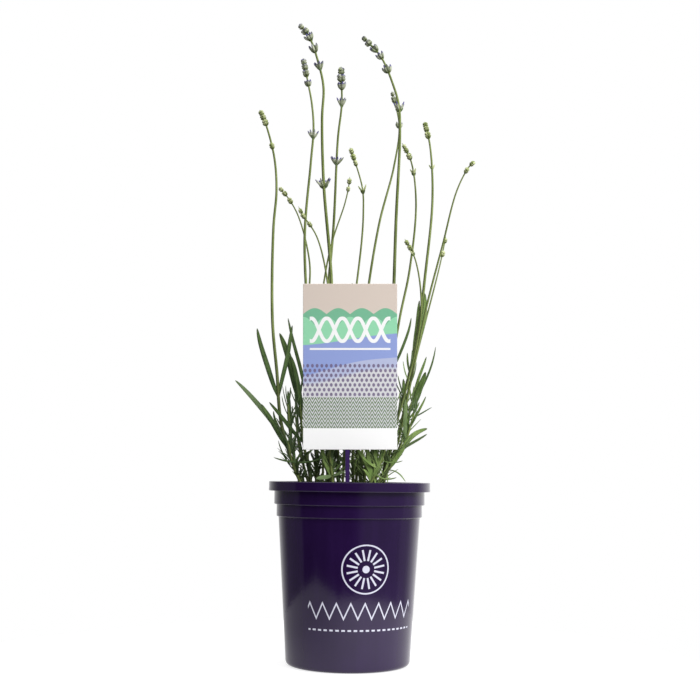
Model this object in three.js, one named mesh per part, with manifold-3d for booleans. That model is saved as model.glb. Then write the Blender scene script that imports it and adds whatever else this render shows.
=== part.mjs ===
// A lavender plant in its plastic nursery pot, with a printed label that stands in the soil.
// Millimetres, +Z up. The origin is the centre of the pot's underside, and -Y is the front.

import * as THREE from 'three';
import loadManifold from 'manifold-3d';

const wasm = await loadManifold();
wasm.setup();

// Driving dimensions of the pot
const RIM_RADIUS = 70;
const POT_HEIGHT = 154;
const LIP_HEIGHT = 7.9;            // how far the turned-over lip hangs down
const LIP_WALL = 1.6;
const BASE_RADIUS = 53;
const BASE_CORNER = 3.5;           // rounding between the bottom and the wall
const SHOULDER_RADIUS = 65;        // wall under the lip
const UPPER_STEP = 18.7;           // first step in the wall, below the rim
const BAND_RADIUS = 62.8;          // wall between the two steps
const LOWER_STEP = 29;             // second step, below the rim
const BODY_RADIUS = 61;            // top of the tapered body
const WALL = 1.6;
const FLOOR = 1.8;
const POT_SIDES = 36;
const DRAIN_HOLES = 8;
const DRAIN_RADIUS = 4.5;
const DRAIN_CIRCLE = 38;

// Driving dimensions of the soil
const SOIL_LEVEL = 141;
const SOIL_LUMPS = 1.6;            // height of the lumps on its surface
const CLEARANCE = 0.3;             // gap between pieces that touch
const ROOT_END = 121;              // bottom of every sunk stem
const HOLE_END = ROOT_END - CLEARANCE;

// Driving dimensions of the label
const LABEL_WIDTH = 78.6;
const LABEL_HEIGHT = 138.4;
const LABEL_THICKNESS = 0.9;
const LABEL_BOTTOM = 181;          // height of the card's lower edge
const LABEL_FRONT = -42;           // depth of the card's lower edge
const LABEL_LEAN = THREE.MathUtils.degToRad(6.1);
const LABEL_TURN = THREE.MathUtils.degToRad(0.67);
const LABEL_STEM_WIDTH = 3.6;
const LABEL_STEM_LEFT = 4.0;       // left edge of the stem, left of the card's middle

// Driving dimensions of the stems, leaves and buds
const STEM_FOOT = 1.32;            // distance from corner to middle at the foot, as a share of the girth
const STEM_TOP = 0.9;
const LEAF_WIDTH = 3.6;
const LEAF_KEEL = 1.1;             // thickness at the midrib
const LEAF_GAP = 0.7;              // free space that a leaf keeps from other stems and leaves
const LONG_LEAF = 42;              // a leaf longer than this bends in one more place
const BUDS_IN_WHORL = 6;
const BUD_GIRTH = 0.16;            // radius of a bud, as a share of the whorl's width
const BUD_LENGTH = 0.75;           // length of a bud, as a share of the whorl's width
const BUD_LONGEST = 8.4;
const LONGEST_SPAN = 28;           // longest straight piece of a stem

// The flowering stalks. A path runs from the soil to the tip as [across, depth, height].
// A whorl is [height, width, spread of its buds in degrees]. A leaf is [height on the stalk,
// its tip's across, depth and height, width, bow], and pairs gives the heights between which
// the stalk carries pairs of leaves by the common rule.
const STALKS = [
  {
    girth: 1.05,
    path: [[-37, -4], [-45, -4, 160], [-60, 0, 203], [-65, 2, 249], [-70, 5, 296], [-71, 10, 379],
      [-69, 12, 415], [-72, 14, 447], [-82, 16, 482], [-86, 16, 490]],
    whorls: [[487, 6, 20], [483, 7, 24], [478, 7, 28], [456, 6, 26]],
    leaves: [[231, -82, -6, 287, 3.9, -5], [236, -52, 9, 292, 3.2, -2], [184, -99, -26, 239, 4.0, -3],
      [188, -77, -14, 221, 3.2, 2], [172, -74, -10, 200, 2.6, 2]],
    pairs: [166, 176],
  },
  {
    girth: 0.75,
    path: [[-27, 16], [-31, 18, 182], [-37, 22, 226], [-39, 30, 318], [-39, 34, 353], [-51, 40, 399],
      [-64, 43, 420], [-69, 44, 425]],
    whorls: [[423, 5, 18], [419, 6, 24], [412, 6, 32]],
    leaves: [[212, -57, 20, 300, 3.2, 2]],
    pairs: [165, 200],
  },
  {
    girth: 1.15,
    path: [[-17, -6], [-17, -6, 181], [-17, -7, 225], [-18, -9, 327], [-26, -14, 416], [-28, -20, 472],
      [-27, -24, 498], [-31, -26, 517], [-40, -29, 542], [-49, -30, 553]],
    whorls: [[551, 6, 24], [547, 9, 32], [542, 10, 40], [532, 10, 38], [516, 11, 46], [414, 16, 52]],
    leaves: [],
    pairs: [168, 240],
  },
  {
    girth: 0.75,
    path: [[-23, -12], [-23, -12, 177], [-21, -13, 215], [-19, -14, 276], [-21, -16, 324],
      [-31, -24, 365], [-44, -29, 384], [-47, -30, 390]],
    whorls: [[386, 4.5, 14], [382, 5.5, 18], [375, 5, 22]],
    leaves: [],
    pairs: [172, 215],
  },
  {
    girth: 1.0,
    path: [[-29, 4], [-29, 4, 174], [-29, 6, 208], [-36, 8, 270], [-43, 14, 370], [-39, 25, 443],
      [-37, 28, 477], [-39, 30, 501], [-43, 32, 522], [-48, 34, 546]],
    whorls: [[542, 7, 20], [537, 8, 22], [531, 8, 24], [521, 8, 34], [470, 12, 42]],
    leaves: [],
    pairs: [162, 190],
  },
  {
    girth: 1.0,
    path: [[-10, 12], [-11, 12, 182], [-19, 14, 235], [-22, 14, 306], [-17, 9, 383], [-14, -4, 459],
      [-11, -9, 488], [-12, -14, 521]],
    whorls: [[517, 8, 22], [511, 10, 28], [504, 9, 36], [489, 11, 46], [438, 14, 54]],
    leaves: [],
    pairs: [166, 250],
  },
  {
    girth: 0.7,
    path: [[-19, 3], [-20, 3, 181], [-25, 6, 234], [-28, 8, 296], [-20, 6, 359], [-7, 1, 401],
      [-4, -1, 415], [-3, -2, 424]],
    whorls: [[420, 5, 22], [413, 4.5, 16]],
    leaves: [],
    pairs: [170, 200],
  },
  {
    girth: 0.75,
    path: [[-6, -18], [-5, -18, 177], [-3, -21, 224], [0, -25, 284], [8, -33, 361], [9, -36, 384],
      [8, -40, 404], [0, -45, 430], [-3, -46, 438]],
    whorls: [[435, 5, 20], [430, 6, 22], [425, 5, 26], [403, 9, 55]],
    leaves: [[300, 1, -30, 326, 2.4, 0]],
    pairs: [164, 190],
  },
  {
    girth: 1.15,
    path: [[18, 0], [20, 0, 178], [28, 1, 221], [35, 3, 279], [39, 9, 392], [42, 15, 465],
      [41, 18, 496], [36, 21, 516], [24, 24, 545], [7, 26, 564]],
    whorls: [[562, 6, 28], [558, 9, 32], [552, 9, 38], [545, 9, 38], [532, 10, 46], [494, 13, 46]],
    leaves: [],
    pairs: [164, 230],
  },
  {
    girth: 0.9,
    path: [[6, 14], [6, 14, 178], [8, 18, 226], [11, 22, 294], [24, 36, 388], [38, 47, 447],
      [43, 55, 489], [36, 60, 524]],
    whorls: [[521, 5, 22], [515, 7, 26], [489, 8, 40]],
    leaves: [],
    pairs: [166, 230],
  },
  {
    girth: 0.85,
    path: [[21, -7], [24, -8, 182], [32, -10, 234], [42, -12, 297], [50, -15, 338], [55, -21, 396],
      [50, -30, 431], [42, -34, 446]],
    whorls: [[443, 5, 22], [440, 6, 24], [435, 6, 26], [422, 7, 44]],
    leaves: [[256, 53, -14, 298, 2.6, 3]],
    pairs: [170, 190],
  },
  {
    girth: 0.75,
    path: [[29, -14], [36, -17, 190], [48, -24, 237], [57, -31, 279], [59, -37, 309], [53, -47, 342],
      [44, -52, 358]],
    whorls: [[355, 4.5, 14], [351, 5.5, 20], [347, 6, 38]],
    leaves: [[202, 58, -26, 228, 3, -2]],
    pairs: [168, 176],
  },
  {
    girth: 1.05,
    path: [[28, 4], [32, 4, 176], [43, 7, 217], [53, 11, 255], [61, 16, 299], [66, 21, 340],
      [73, 31, 412], [71, 37, 464], [66, 40, 488]],
    whorls: [[485, 6, 20], [481, 7, 24], [475, 7, 28], [443, 7, 34]],
    leaves: [[268, 66, 9, 321, 4.2, 2], [262, 61, 20, 317, 3.8, 1]],
    pairs: [164, 250],
  },
  {
    girth: 0.7,
    path: [[26, 20], [33, 20, 175], [43, 23, 200], [57, 34, 259], [69, 44, 305], [82, 56, 356],
      [88, 62, 384]],
    whorls: [[380, 5, 18], [367, 6, 24]],
    leaves: [],
    pairs: [168, 215],
  },
  {
    girth: 0.8,
    path: [[28, -9], [42, -3, 191], [50, 0, 230], [59, -2, 274], [66, -5, 309], [79, -10, 361],
      [91, -17, 409], [101, -21, 429], [106, -22, 434]],
    whorls: [[432, 5, 20], [426, 5.5, 26]],
    leaves: [[206, 64, -8, 231, 3, -2]],
    pairs: [170, 240],
  },
];

// The leafy shoots. The top is [across, depth, height], and longest is their longest leaf.
const SHOOTS = [
  {
    root: [-43, 3],
    top: [-55, 3, 222],
    longest: 24,
    leaves: [[190, -71, 0, 222, 3, 2], [196, -57, 8, 236, 3.6, 0]],
  },
  {
    root: [-41, -12],
    top: [-53, -18, 188],
    longest: 18,
    leaves: [[166, -65, -28, 174, 2, 3]],
  },
  {
    root: [-33, -1],
    top: [-46, 14, 236],
    longest: 28,
    leaves: [[222, -64, 10, 285, 4.6, -3], [226, -54, 6, 266, 3.4, 2]],
  },
  { root: [-36, 26], top: [-50, 42, 214], longest: 44, leaves: [] },
  { root: [-14, 30], top: [-22, 54, 228], longest: 48, leaves: [] },
  { root: [10, 36], top: [12, 60, 216], longest: 46, leaves: [] },
  { root: [22, 24], top: [34, 50, 232], longest: 48, leaves: [] },
  {
    root: [12, -14],
    top: [16, -24, 212],
    longest: 40,
    leaves: [[176, 29, -29, 168, 3, 2], [162, 26, -36, 158, 2.6, 3], [166, 4, -36, 172, 2.8, 2]],
  },
  {
    root: [-14, -28],
    top: [-18, -33, 196],
    longest: 36,
    leaves: [[160, -28, -36, 158, 3.4, 2], [158, -4, -38, 166, 3.2, 2], [168, -32, -40, 178, 2.8, 3]],
  },
  { root: [3, 0], top: [2, 2, 246], longest: 44, leaves: [] },
  {
    root: [22, -30],
    top: [55, -16, 214],
    longest: 20,
    leaves: [[196, 48, -14, 240, 2.8, 1], [176, 65, -22, 200, 3, 3], [200, 60, -22, 226, 2.6, 2]],
  },
  {
    root: [16, -34],
    top: [32, -32, 196],
    longest: 28,
    leaves: [[166, 46, -34, 174, 2, 3], [160, 40, -40, 160, 2.4, 3], [172, 18, -36, 182, 2.8, 2]],
  },
  {
    root: [26, 12],
    top: [54, 8, 226],
    longest: 22,
    leaves: [[206, 75, 8, 274, 4.8, -4], [214, 67, 12, 265, 3.4, -2], [188, 66, -2, 229, 3, -2],
      [174, 67, 14, 197, 3, 3]],
  },
  { root: [-2, 24], top: [-4, 34, 252], longest: 48, leaves: [] },
];

// Plain vector helpers
const vec = (x, y, z) => new THREE.Vector3(x, y, z);
const UP = vec(0, 0, 1);
const TOWARDS_VIEWER = vec(0, -0.85, 0.5).normalize();

// Each stem draws its random numbers from a short generator of its own, so its leaves stay
// the same when another stem changes.
function randomSource(seed) {
  let state = 7919 * (seed + 1);
  return () => {
    state = (state * 16807) % 2147483647;
    return state / 2147483647;
  };
}

// Height of the lumpy surface of the soil at a place.
function soilHeight(x, y) {
  const lumps = Math.sin(0.31 * x + 1.3) * Math.cos(0.27 * y) + 0.6 * Math.sin(0.19 * x - 0.43 * y);
  const mound = 2 * Math.cos((Math.PI / 2) * Math.min(1, Math.hypot(x, y) / BODY_RADIUS));
  return SOIL_LEVEL + mound + SOIL_LUMPS * lumps;
}

// A stem's centre line stands upright in the soil and then follows a smooth curve through its
// path, in straight pieces.
function stemLine([root, ...path]) {
  const sunk = [ROOT_END, 139, 149].map((height) => vec(root[0], root[1], height));
  const points = [...sunk, ...path.map((p) => vec(...p))];
  const curve = new THREE.CatmullRomCurve3(points);
  const line = [points[0]];
  for (let i = 1; i < points.length; i += 1) {
    const pieces = Math.ceil(points[i - 1].distanceTo(points[i]) / LONGEST_SPAN);
    for (let k = 1; k <= pieces; k += 1) {
      line.push(curve.getPoint((i - 1 + k / pieces) / (points.length - 1)));
    }
  }
  return line;
}

// The place on a stem's line at a given height.
function placeAtHeight(line, height) {
  const next = line.findIndex((p) => p.z >= height);
  if (next < 1) return line[line.length - 1].clone();
  const low = line[next - 1];
  const high = line[next];
  return low.clone().lerp(high, (height - low.z) / (high.z - low.z));
}

// A leaf is planned as a root, a middle and a tip on one quadratic curve. The bow lifts its
// middle off the straight line, square to it and upwards.
function planLeaf(root, tip, width, bow, look) {
  const chord = tip.clone().sub(root);
  const sideways = chord.clone().cross(UP).normalize();
  const lift = sideways.clone().cross(chord).normalize();
  const control = root.clone().add(tip).multiplyScalar(0.5).addScaledVector(lift, 2 * bow);
  return { root, control, tip, width, look };
}

function leafPoint(leaf, u) {
  return leaf.root.clone().multiplyScalar((1 - u) ** 2)
    .addScaledVector(leaf.control, 2 * u * (1 - u))
    .addScaledVector(leaf.tip, u ** 2);
}

// Samples of a leaf every few millimetres, each with half the leaf's width there.
function leafSamples(leaf) {
  const count = Math.ceil(leaf.root.distanceTo(leaf.tip) / 2.5);
  return Array.from({ length: count }, (_, i) => {
    const u = (i + 1) / count;
    return { place: leafPoint(leaf, u), reach: 0.8 * leaf.width * leafBreadth(u) };
  });
}

// Half the breadth of a leaf along its length, as a share of its full width.
function leafBreadth(u) {
  return 0.5 * Math.min(1, 0.42 + 1.6 * u) * Math.sqrt(Math.max(0, 1 - u ** 6));
}

// The space that is taken so far, as samples with their owner.
const taken = [];

function takeSpace(samples, owner) {
  samples.forEach((sample) => taken.push({ ...sample, owner }));
}

// The back of the label's card at a height, with room for a leaf.
function behindLabel(height) {
  return LABEL_FRONT - (height - LABEL_BOTTOM) * Math.tan(LABEL_LEAN) + 4;
}

// Whether a leaf stays in the free space: above the soil, inside the pot's wall, behind the
// label, and away from the stems and leaves of all the others.
function isClear(samples, owner) {
  return samples.every(({ place, reach }) => {
    const fromAxis = Math.hypot(place.x, place.y);
    if (place.z < soilHeight(place.x, place.y) + 3 + reach) return false;
    if (place.z < POT_HEIGHT + 3 && fromAxis > BODY_RADIUS - WALL - 4) return false;
    if (Math.abs(place.x) < LABEL_WIDTH / 2 + 4 && place.y < behindLabel(place.z)) return false;
    return taken.every((other) => {
      if (other.owner === owner) return true;
      return place.distanceTo(other.place) > reach + other.reach + LEAF_GAP;
    });
  });
}

// A leaf of the common rule leaves its stem at a heading and a rise. Where it would cross
// something it is bent clear: it tries other headings, then a steeper rise, then less length.
const TURNS = [0, 20, -20, 40, -40, 60, -60];
const TRIES = [[0, 1], [14, 1], [0, 0.75], [14, 0.75], [22, 0.55]];

function bendClear(root, heading, rise, length, width, bow, owner) {
  for (const [steeper, share] of TRIES) {
    for (const turn of TURNS) {
      const a = THREE.MathUtils.degToRad(heading + turn);
      const e = THREE.MathUtils.degToRad(rise + steeper);
      const outward = vec(Math.cos(a), Math.sin(a), 0);
      const reach = outward.clone().multiplyScalar(Math.cos(e)).addScaledVector(UP, Math.sin(e));
      const tip = root.clone().addScaledVector(reach, length * share);
      const look = UP.clone().addScaledVector(outward, -0.5);
      const leaf = planLeaf(root, tip, width, bow * share, look);
      if (isClear(leafSamples(leaf), owner)) return leaf;
    }
  }
  return null;
}

// The plan of one stem: its centre line, and the space that it and its own leaves take.
function planStem(name, index, girth, path, setLeaves, whorls) {
  const line = stemLine(path);
  const stem = { name, index, girth, line, whorls, leaves: [] };
  for (let height = SOIL_LEVEL; height < line[line.length - 1].z; height += 2.5) {
    takeSpace([{ place: placeAtHeight(line, height), reach: girth }], name);
  }
  whorls.forEach(([height, width]) => {
    takeSpace([{ place: placeAtHeight(line, height), reach: width / 2 }], name);
  });
  for (const [height, x, y, z, width, bow] of setLeaves) {
    const leaf = planLeaf(placeAtHeight(line, height), vec(x, y, z), width, bow, TOWARDS_VIEWER);
    stem.leaves.push(leaf);
    takeSpace(leafSamples(leaf), name);
  }
  return stem;
}

const stalks = STALKS.map((s, i) => {
  const name = `flower_stalk_${String(i + 1).padStart(2, '0')}`;
  return planStem(name, i, s.girth, s.path, s.leaves, s.whorls);
});
const shoots = SHOOTS.map((s, i) => {
  const name = `leafy_shoot_${String(i + 1).padStart(2, '0')}`;
  const [x, y, z] = s.top;
  const middle = [(s.root[0] + 2 * x) / 3, (s.root[1] + 2 * y) / 3, (149 + z) / 2];
  return planStem(name, 20 + i, 1, [s.root, middle, s.top], s.leaves, []);
});

// Pairs of leaves by the common rule: each pair is turned a quarter turn from the one below.
// The leaves are longest half way up, and rise more steeply towards the top.
function growPairs(stem, lowest, highest, gap, longest) {
  const draw = randomSource(stem.index);
  const start = 360 * draw();
  const pairs = Math.max(1, Math.round((highest - lowest) / gap));
  for (let pair = 0; pair <= pairs; pair += 1) {
    const u = pair / pairs;
    const root = placeAtHeight(stem.line, lowest + (highest - lowest) * u);
    for (const side of [0, 180]) {
      const heading = start + 90 * pair + side + 24 * (draw() - 0.5);
      const rise = 42 + 30 * u + 16 * (draw() - 0.5);
      const length = longest * (0.55 + 0.45 * Math.sin(Math.PI * (0.15 + 0.75 * u))) * (0.9 + 0.2 * draw());
      const width = LEAF_WIDTH * (0.75 + 0.3 * draw());
      const leaf = bendClear(root, heading, rise, length, width, length * (0.03 - 0.09 * u), stem.name);
      if (leaf) {
        stem.leaves.push(leaf);
        takeSpace(leafSamples(leaf), stem.name);
      }
    }
  }
}

shoots.forEach((stem, i) => growPairs(stem, 156, SHOOTS[i].top[2] - 1, 10.5, SHOOTS[i].longest));
stalks.forEach((stem, i) => growPairs(stem, ...STALKS[i].pairs, 20, 30));

// A closed solid through rings of points. Its faces point out where the rings turn to the left
// about their direction. Where two rings have different numbers of points, each point of the
// smaller ring serves its share of the larger one.
function loft(rings) {
  const positions = [];
  const starts = rings.map((ring) => {
    const start = positions.length / 3;
    ring.forEach((p) => positions.push(p.x, p.y, p.z));
    return start;
  });
  const triangles = [];
  for (let i = 0; i + 1 < rings.length; i += 1) {
    const count = Math.max(rings[i].length, rings[i + 1].length);
    const corner = (ring, j) => {
      const { length } = rings[ring];
      return starts[ring] + (Math.floor((j * length) / count) % length);
    };
    for (let j = 0; j < count; j += 1) {
      const [a, aNext] = [corner(i, j), corner(i, j + 1)];
      const [b, bNext] = [corner(i + 1, j), corner(i + 1, j + 1)];
      if (a !== aNext) triangles.push(a, aNext, bNext);
      if (b !== bNext) triangles.push(a, bNext, b);
    }
  }
  const top = starts[starts.length - 1];
  const topCount = rings[rings.length - 1].length;
  for (let j = 1; j + 1 < rings[0].length; j += 1) triangles.push(0, j + 1, j);
  for (let j = 1; j + 1 < topCount; j += 1) triangles.push(top, top + j, top + j + 1);
  return new wasm.Manifold(new wasm.Mesh({
    numProp: 3,
    vertProperties: new Float32Array(positions),
    triVerts: new Uint32Array(triangles),
  }));
}

function fuse(solids) {
  return solids.reduce((whole, solid) => whole.add(solid));
}

// Two directions square to each other and to an axis. The first is over towards the same
// corner for every stem.
const CORNER = vec(1, 1, 0);

function crossDirections(axis) {
  const side = CORNER.clone().addScaledVector(axis, -axis.dot(CORNER)).normalize();
  return [side, axis.clone().cross(side)];
}

// A ring of four corners square to an axis.
function squareRing(centre, axis, radius) {
  const [side, other] = crossDirections(axis);
  return [[1, 0], [0, 1], [-1, 0], [0, -1]].map(([a, b]) => (
    centre.clone().addScaledVector(side, a * radius).addScaledVector(other, b * radius)
  ));
}

// A stem is square, as lavender stems are, and tapers towards its tip. At a whorl its surface
// opens into the buds and closes again above them.
function stemSolid({ line, girth, whorls }) {
  const last = line.length - 1;
  const radiusAt = (height) => {
    const u = (height - ROOT_END) / (line[last].z - ROOT_END);
    return girth * (STEM_FOOT + (STEM_TOP - STEM_FOOT) * u);
  };
  const crowns = whorls.map(([height, width, spread], i) => (
    whorlRings(line, height, width, spread, i % 2, radiusAt(height))
  ));
  const inCrown = (height) => crowns.some((crown) => height > crown.low - 1 && height < crown.high + 1);
  const plain = line.map((centre, i) => {
    const direction = line[Math.min(i + 1, last)].clone().sub(line[Math.max(i - 1, 0)]).normalize();
    return { low: centre.z, rings: [squareRing(centre, direction, radiusAt(centre.z))] };
  });
  const parts = [...crowns, ...plain.filter((part, i) => i === last || !inCrown(part.low))];
  parts.sort((a, b) => a.low - b.low);
  return loft(parts.flatMap((part) => part.rings));
}

// A whorl is a ring of pointed buds round the stalk. The buds are grown together at their
// bellies, so the whorl is one small crown: from its base on the stalk it opens to the ring
// of bellies, rises to the ring of tips, and comes back to its heart on the stalk.
function whorlRings(line, height, width, spread, turn, radius) {
  const centre = placeAtHeight(line, height);
  const axis = placeAtHeight(line, height + 1.5).sub(placeAtHeight(line, height - 1.5)).normalize();
  const [side, other] = crossDirections(axis);
  const lean = THREE.MathUtils.degToRad(spread);
  const half = Math.min(BUD_LONGEST / 2, BUD_LENGTH * width / 2);
  const middle = Math.max(0.14 * width, 0.5 * width - half * Math.sin(lean));
  const buds = width < 6 ? BUDS_IN_WHORL - 2 : BUDS_IN_WHORL;
  const crownRing = (budOut, budUp, gapOut, gapUp) => Array.from({ length: 2 * buds }, (_, i) => {
    const a = (Math.PI * (i - 1 + turn)) / buds;
    const [out, up] = i % 2 === 0 ? [budOut, budUp] : [gapOut, gapUp];
    return centre.clone()
      .addScaledVector(side, out * Math.cos(a))
      .addScaledVector(other, out * Math.sin(a))
      .addScaledVector(axis, up);
  });
  const base = centre.clone().addScaledVector(axis, -half);
  const heart = centre.clone().addScaledVector(axis, 0.1 * half);
  const bellyOut = middle + BUD_GIRTH * width * Math.cos(lean);
  return {
    low: base.z,
    high: heart.z,
    rings: [
      squareRing(base, axis, radius),
      crownRing(bellyOut, -BUD_GIRTH * width * Math.sin(lean), 0.82 * bellyOut, 0),
      crownRing(middle + half * Math.sin(lean), half * Math.cos(lean), 0.74 * bellyOut, 0.5 * half),
      squareRing(heart, axis, radius),
    ],
  };
}

// A leaf is a narrow blade with a flat face and a keel under it. It starts in the middle of
// its stem and ends in a point. The long leaves have one more ring, so that they bend softly.
function leafSolid(leaf) {
  const stations = leaf.root.distanceTo(leaf.tip) > LONG_LEAF ? [0.22, 0.52, 0.84] : [0.3, 0.78];
  const rings = stations.map((u) => {
    const centre = leafPoint(leaf, u);
    const tangent = leafPoint(leaf, u + 0.01).sub(centre).normalize();
    const across = tangent.clone().cross(leaf.look).normalize();
    const under = tangent.clone().cross(across);
    const half = leaf.width * leafBreadth(u);
    return [
      centre.clone().addScaledVector(across, half),
      centre.clone().addScaledVector(under, LEAF_KEEL),
      centre.clone().addScaledVector(across, -half),
    ];
  });
  return loft([[leaf.root], ...rings, [leaf.tip]]);
}

function plantSolid(stem) {
  return fuse([stemSolid(stem), ...stem.leaves.map(leafSolid)]);
}

// A solid turned about the Z axis from a profile of [radius, height], which starts and ends
// on the axis and runs up the outside and down the inside.
function turned(profile, sides) {
  const rings = profile.map(([radius, height]) => {
    if (radius === 0) return [vec(0, 0, height)];
    return Array.from({ length: sides }, (_, i) => {
      const a = (2 * Math.PI * i) / sides;
      return vec(radius * Math.cos(a), radius * Math.sin(a), height);
    });
  });
  return loft(rings);
}

// The inner wall of the pot, which the soil follows too.
const innerWall = [
  [SHOULDER_RADIUS - WALL, POT_HEIGHT - 0.8],
  [SHOULDER_RADIUS - WALL, POT_HEIGHT - UPPER_STEP + 0.6],
  [BAND_RADIUS - WALL, POT_HEIGHT - UPPER_STEP - 0.8],
  [BAND_RADIUS - WALL, POT_HEIGHT - LOWER_STEP + 0.6],
  [BODY_RADIUS - WALL, POT_HEIGHT - LOWER_STEP - 0.8],
  [BASE_RADIUS - WALL, BASE_CORNER + FLOOR],
  [BASE_RADIUS - WALL - BASE_CORNER, FLOOR],
];

function potSolid() {
  const lipTop = POT_HEIGHT - WALL;
  const lipBottom = POT_HEIGHT - LIP_HEIGHT;
  const shell = turned([
    [0, 0],
    [BASE_RADIUS - BASE_CORNER, 0],
    [BASE_RADIUS - 0.3 * BASE_CORNER, 0.3 * BASE_CORNER],
    [BASE_RADIUS, BASE_CORNER],
    [BODY_RADIUS, POT_HEIGHT - LOWER_STEP - 0.5],
    [BAND_RADIUS - 0.3, POT_HEIGHT - LOWER_STEP],
    [BAND_RADIUS, POT_HEIGHT - UPPER_STEP - 0.5],
    [SHOULDER_RADIUS - 0.3, POT_HEIGHT - UPPER_STEP],
    [SHOULDER_RADIUS, lipTop],
    [RIM_RADIUS - LIP_WALL, lipTop],
    [RIM_RADIUS - LIP_WALL, lipBottom],
    [RIM_RADIUS, lipBottom],
    [RIM_RADIUS, POT_HEIGHT - 0.8],
    [RIM_RADIUS - 0.8, POT_HEIGHT],
    [SHOULDER_RADIUS - WALL + 0.8, POT_HEIGHT],
    ...innerWall,
    [0, FLOOR],
  ], POT_SIDES);
  const holes = Array.from({ length: DRAIN_HOLES }, (_, i) => {
    const a = (2 * Math.PI * (i + 0.5)) / DRAIN_HOLES;
    const [x, y] = [DRAIN_CIRCLE * Math.cos(a), DRAIN_CIRCLE * Math.sin(a)];
    const ring = (height) => Array.from({ length: 8 }, (_unused, k) => {
      const b = (2 * Math.PI * k) / 8;
      return vec(x + DRAIN_RADIUS * Math.cos(b), y + DRAIN_RADIUS * Math.sin(b), height);
    });
    return loft([ring(-1), ring(FLOOR + 1)]);
  });
  return holes.reduce((pot, hole) => pot.subtract(hole), shell);
}

// The label is flat: a card with a narrow stem, cut from one sheet. It is drawn upright with
// the middle of the card's lower edge at the origin, and leans forward where it stands.
const LABEL_STEM_LENGTH = (LABEL_BOTTOM - ROOT_END) / Math.cos(LABEL_LEAN);

function labelPlace(geometry) {
  geometry.translate(0, 0, -LABEL_THICKNESS / 2);
  geometry.rotateX(Math.PI / 2);
  geometry.rotateY(-LABEL_TURN);
  geometry.rotateX(LABEL_LEAN);
  geometry.translate(0, LABEL_FRONT, LABEL_BOTTOM);
  return geometry;
}

function labelGeometry() {
  const [left, right] = [-LABEL_STEM_LEFT, LABEL_STEM_WIDTH - LABEL_STEM_LEFT];
  const outline = new THREE.Shape([
    [-LABEL_WIDTH / 2, 0],
    [left, 0],
    [left, 6 - LABEL_STEM_LENGTH],
    [(left + right) / 2, -LABEL_STEM_LENGTH],
    [right, 6 - LABEL_STEM_LENGTH],
    [right, 0],
    [LABEL_WIDTH / 2, 0],
    [LABEL_WIDTH / 2, LABEL_HEIGHT],
    [-LABEL_WIDTH / 2, LABEL_HEIGHT],
  ].map((p) => new THREE.Vector2(...p)));
  return labelPlace(new THREE.ExtrudeGeometry(outline, { depth: LABEL_THICKNESS, bevelEnabled: false }));
}

// The hole that the label's stem stands in, with room all round it.
function labelHole() {
  const [left, right] = [-LABEL_STEM_LEFT, LABEL_STEM_WIDTH - LABEL_STEM_LEFT];
  const room = CLEARANCE + 0.2;
  const ring = (height) => {
    const depth = LABEL_FRONT + (LABEL_BOTTOM - height) * Math.tan(LABEL_LEAN);
    const half = LABEL_THICKNESS / 2 + room;
    const shift = (LABEL_BOTTOM - height) * Math.sin(LABEL_TURN);
    return [
      vec(left - room + shift, depth - half, height),
      vec(right + room + shift, depth - half, height),
      vec(right + room + shift, depth + half, height),
      vec(left - room + shift, depth + half, height),
    ];
  };
  return loft([ring(HOLE_END), ring(POT_HEIGHT)]);
}

// The soil fills the pot up to its lumpy surface. Every stem stands in a plain hole.
function soilSolid() {
  const inset = WALL + CLEARANCE;
  const edge = SHOULDER_RADIUS - inset;
  const sides = turnedRings([
    [BASE_RADIUS - inset - BASE_CORNER, FLOOR + CLEARANCE],
    [BASE_RADIUS - inset, BASE_CORNER + FLOOR],
    [BODY_RADIUS - inset, POT_HEIGHT - LOWER_STEP - 0.8],
    [BODY_RADIUS - inset, POT_HEIGHT - UPPER_STEP],
    [edge, POT_HEIGHT - UPPER_STEP + 0.9],
  ]);
  const top = [edge, 54, 44, 33, 22, 11].map((radius) => lumpyRing(radius));
  const body = loft([[vec(0, 0, FLOOR + CLEARANCE)], ...sides, ...top, [vec(0, 0, soilHeight(0, 0))]]);
  const holes = [...stalks, ...shoots].map((stem) => {
    const { x, y } = stem.line[0];
    const radius = STEM_FOOT * stem.girth + 1.5 * CLEARANCE;
    return loft([HOLE_END, POT_HEIGHT].map((height) => squareRing(vec(x, y, height), UP, radius)));
  });
  return [...holes, labelHole()].reduce((soil, hole) => soil.subtract(hole), body);
}

function turnedRings(profile) {
  return profile.map(([radius, height]) => circle(radius, () => height));
}

function lumpyRing(radius) {
  return circle(radius, soilHeight);
}

function circle(radius, heightAt) {
  return Array.from({ length: POT_SIDES }, (_, i) => {
    const a = (2 * Math.PI * i) / POT_SIDES;
    const [x, y] = [radius * Math.cos(a), radius * Math.sin(a)];
    return vec(x, y, heightAt(x, y));
  });
}

function toGeometry(solid) {
  const { vertProperties, triVerts } = solid.getMesh();
  const geometry = new THREE.BufferGeometry();
  geometry.setAttribute('position', new THREE.BufferAttribute(vertProperties, 3));
  geometry.setIndex(new THREE.BufferAttribute(triVerts, 1));
  return geometry;
}

// Materials
const potPlastic = new THREE.MeshStandardMaterial({ color: 0x2b1a49, roughness: 0.38, metalness: 0 });
const soilMix = new THREE.MeshStandardMaterial({ color: 0x2e2118, roughness: 0.95, metalness: 0 });
const labelPlastic = new THREE.MeshStandardMaterial({ color: 0xc9d3e6, roughness: 0.45, metalness: 0 });
const stalkGreen = new THREE.MeshStandardMaterial({ color: 0x6f8a3f, roughness: 0.6, metalness: 0 });
const leafGreen = new THREE.MeshStandardMaterial({ color: 0x45683c, roughness: 0.65, metalness: 0 });

const plant = new THREE.Group();

function place(name, geometry, material) {
  const mesh = new THREE.Mesh(geometry, material);
  mesh.name = name;
  plant.add(mesh);
}

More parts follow.
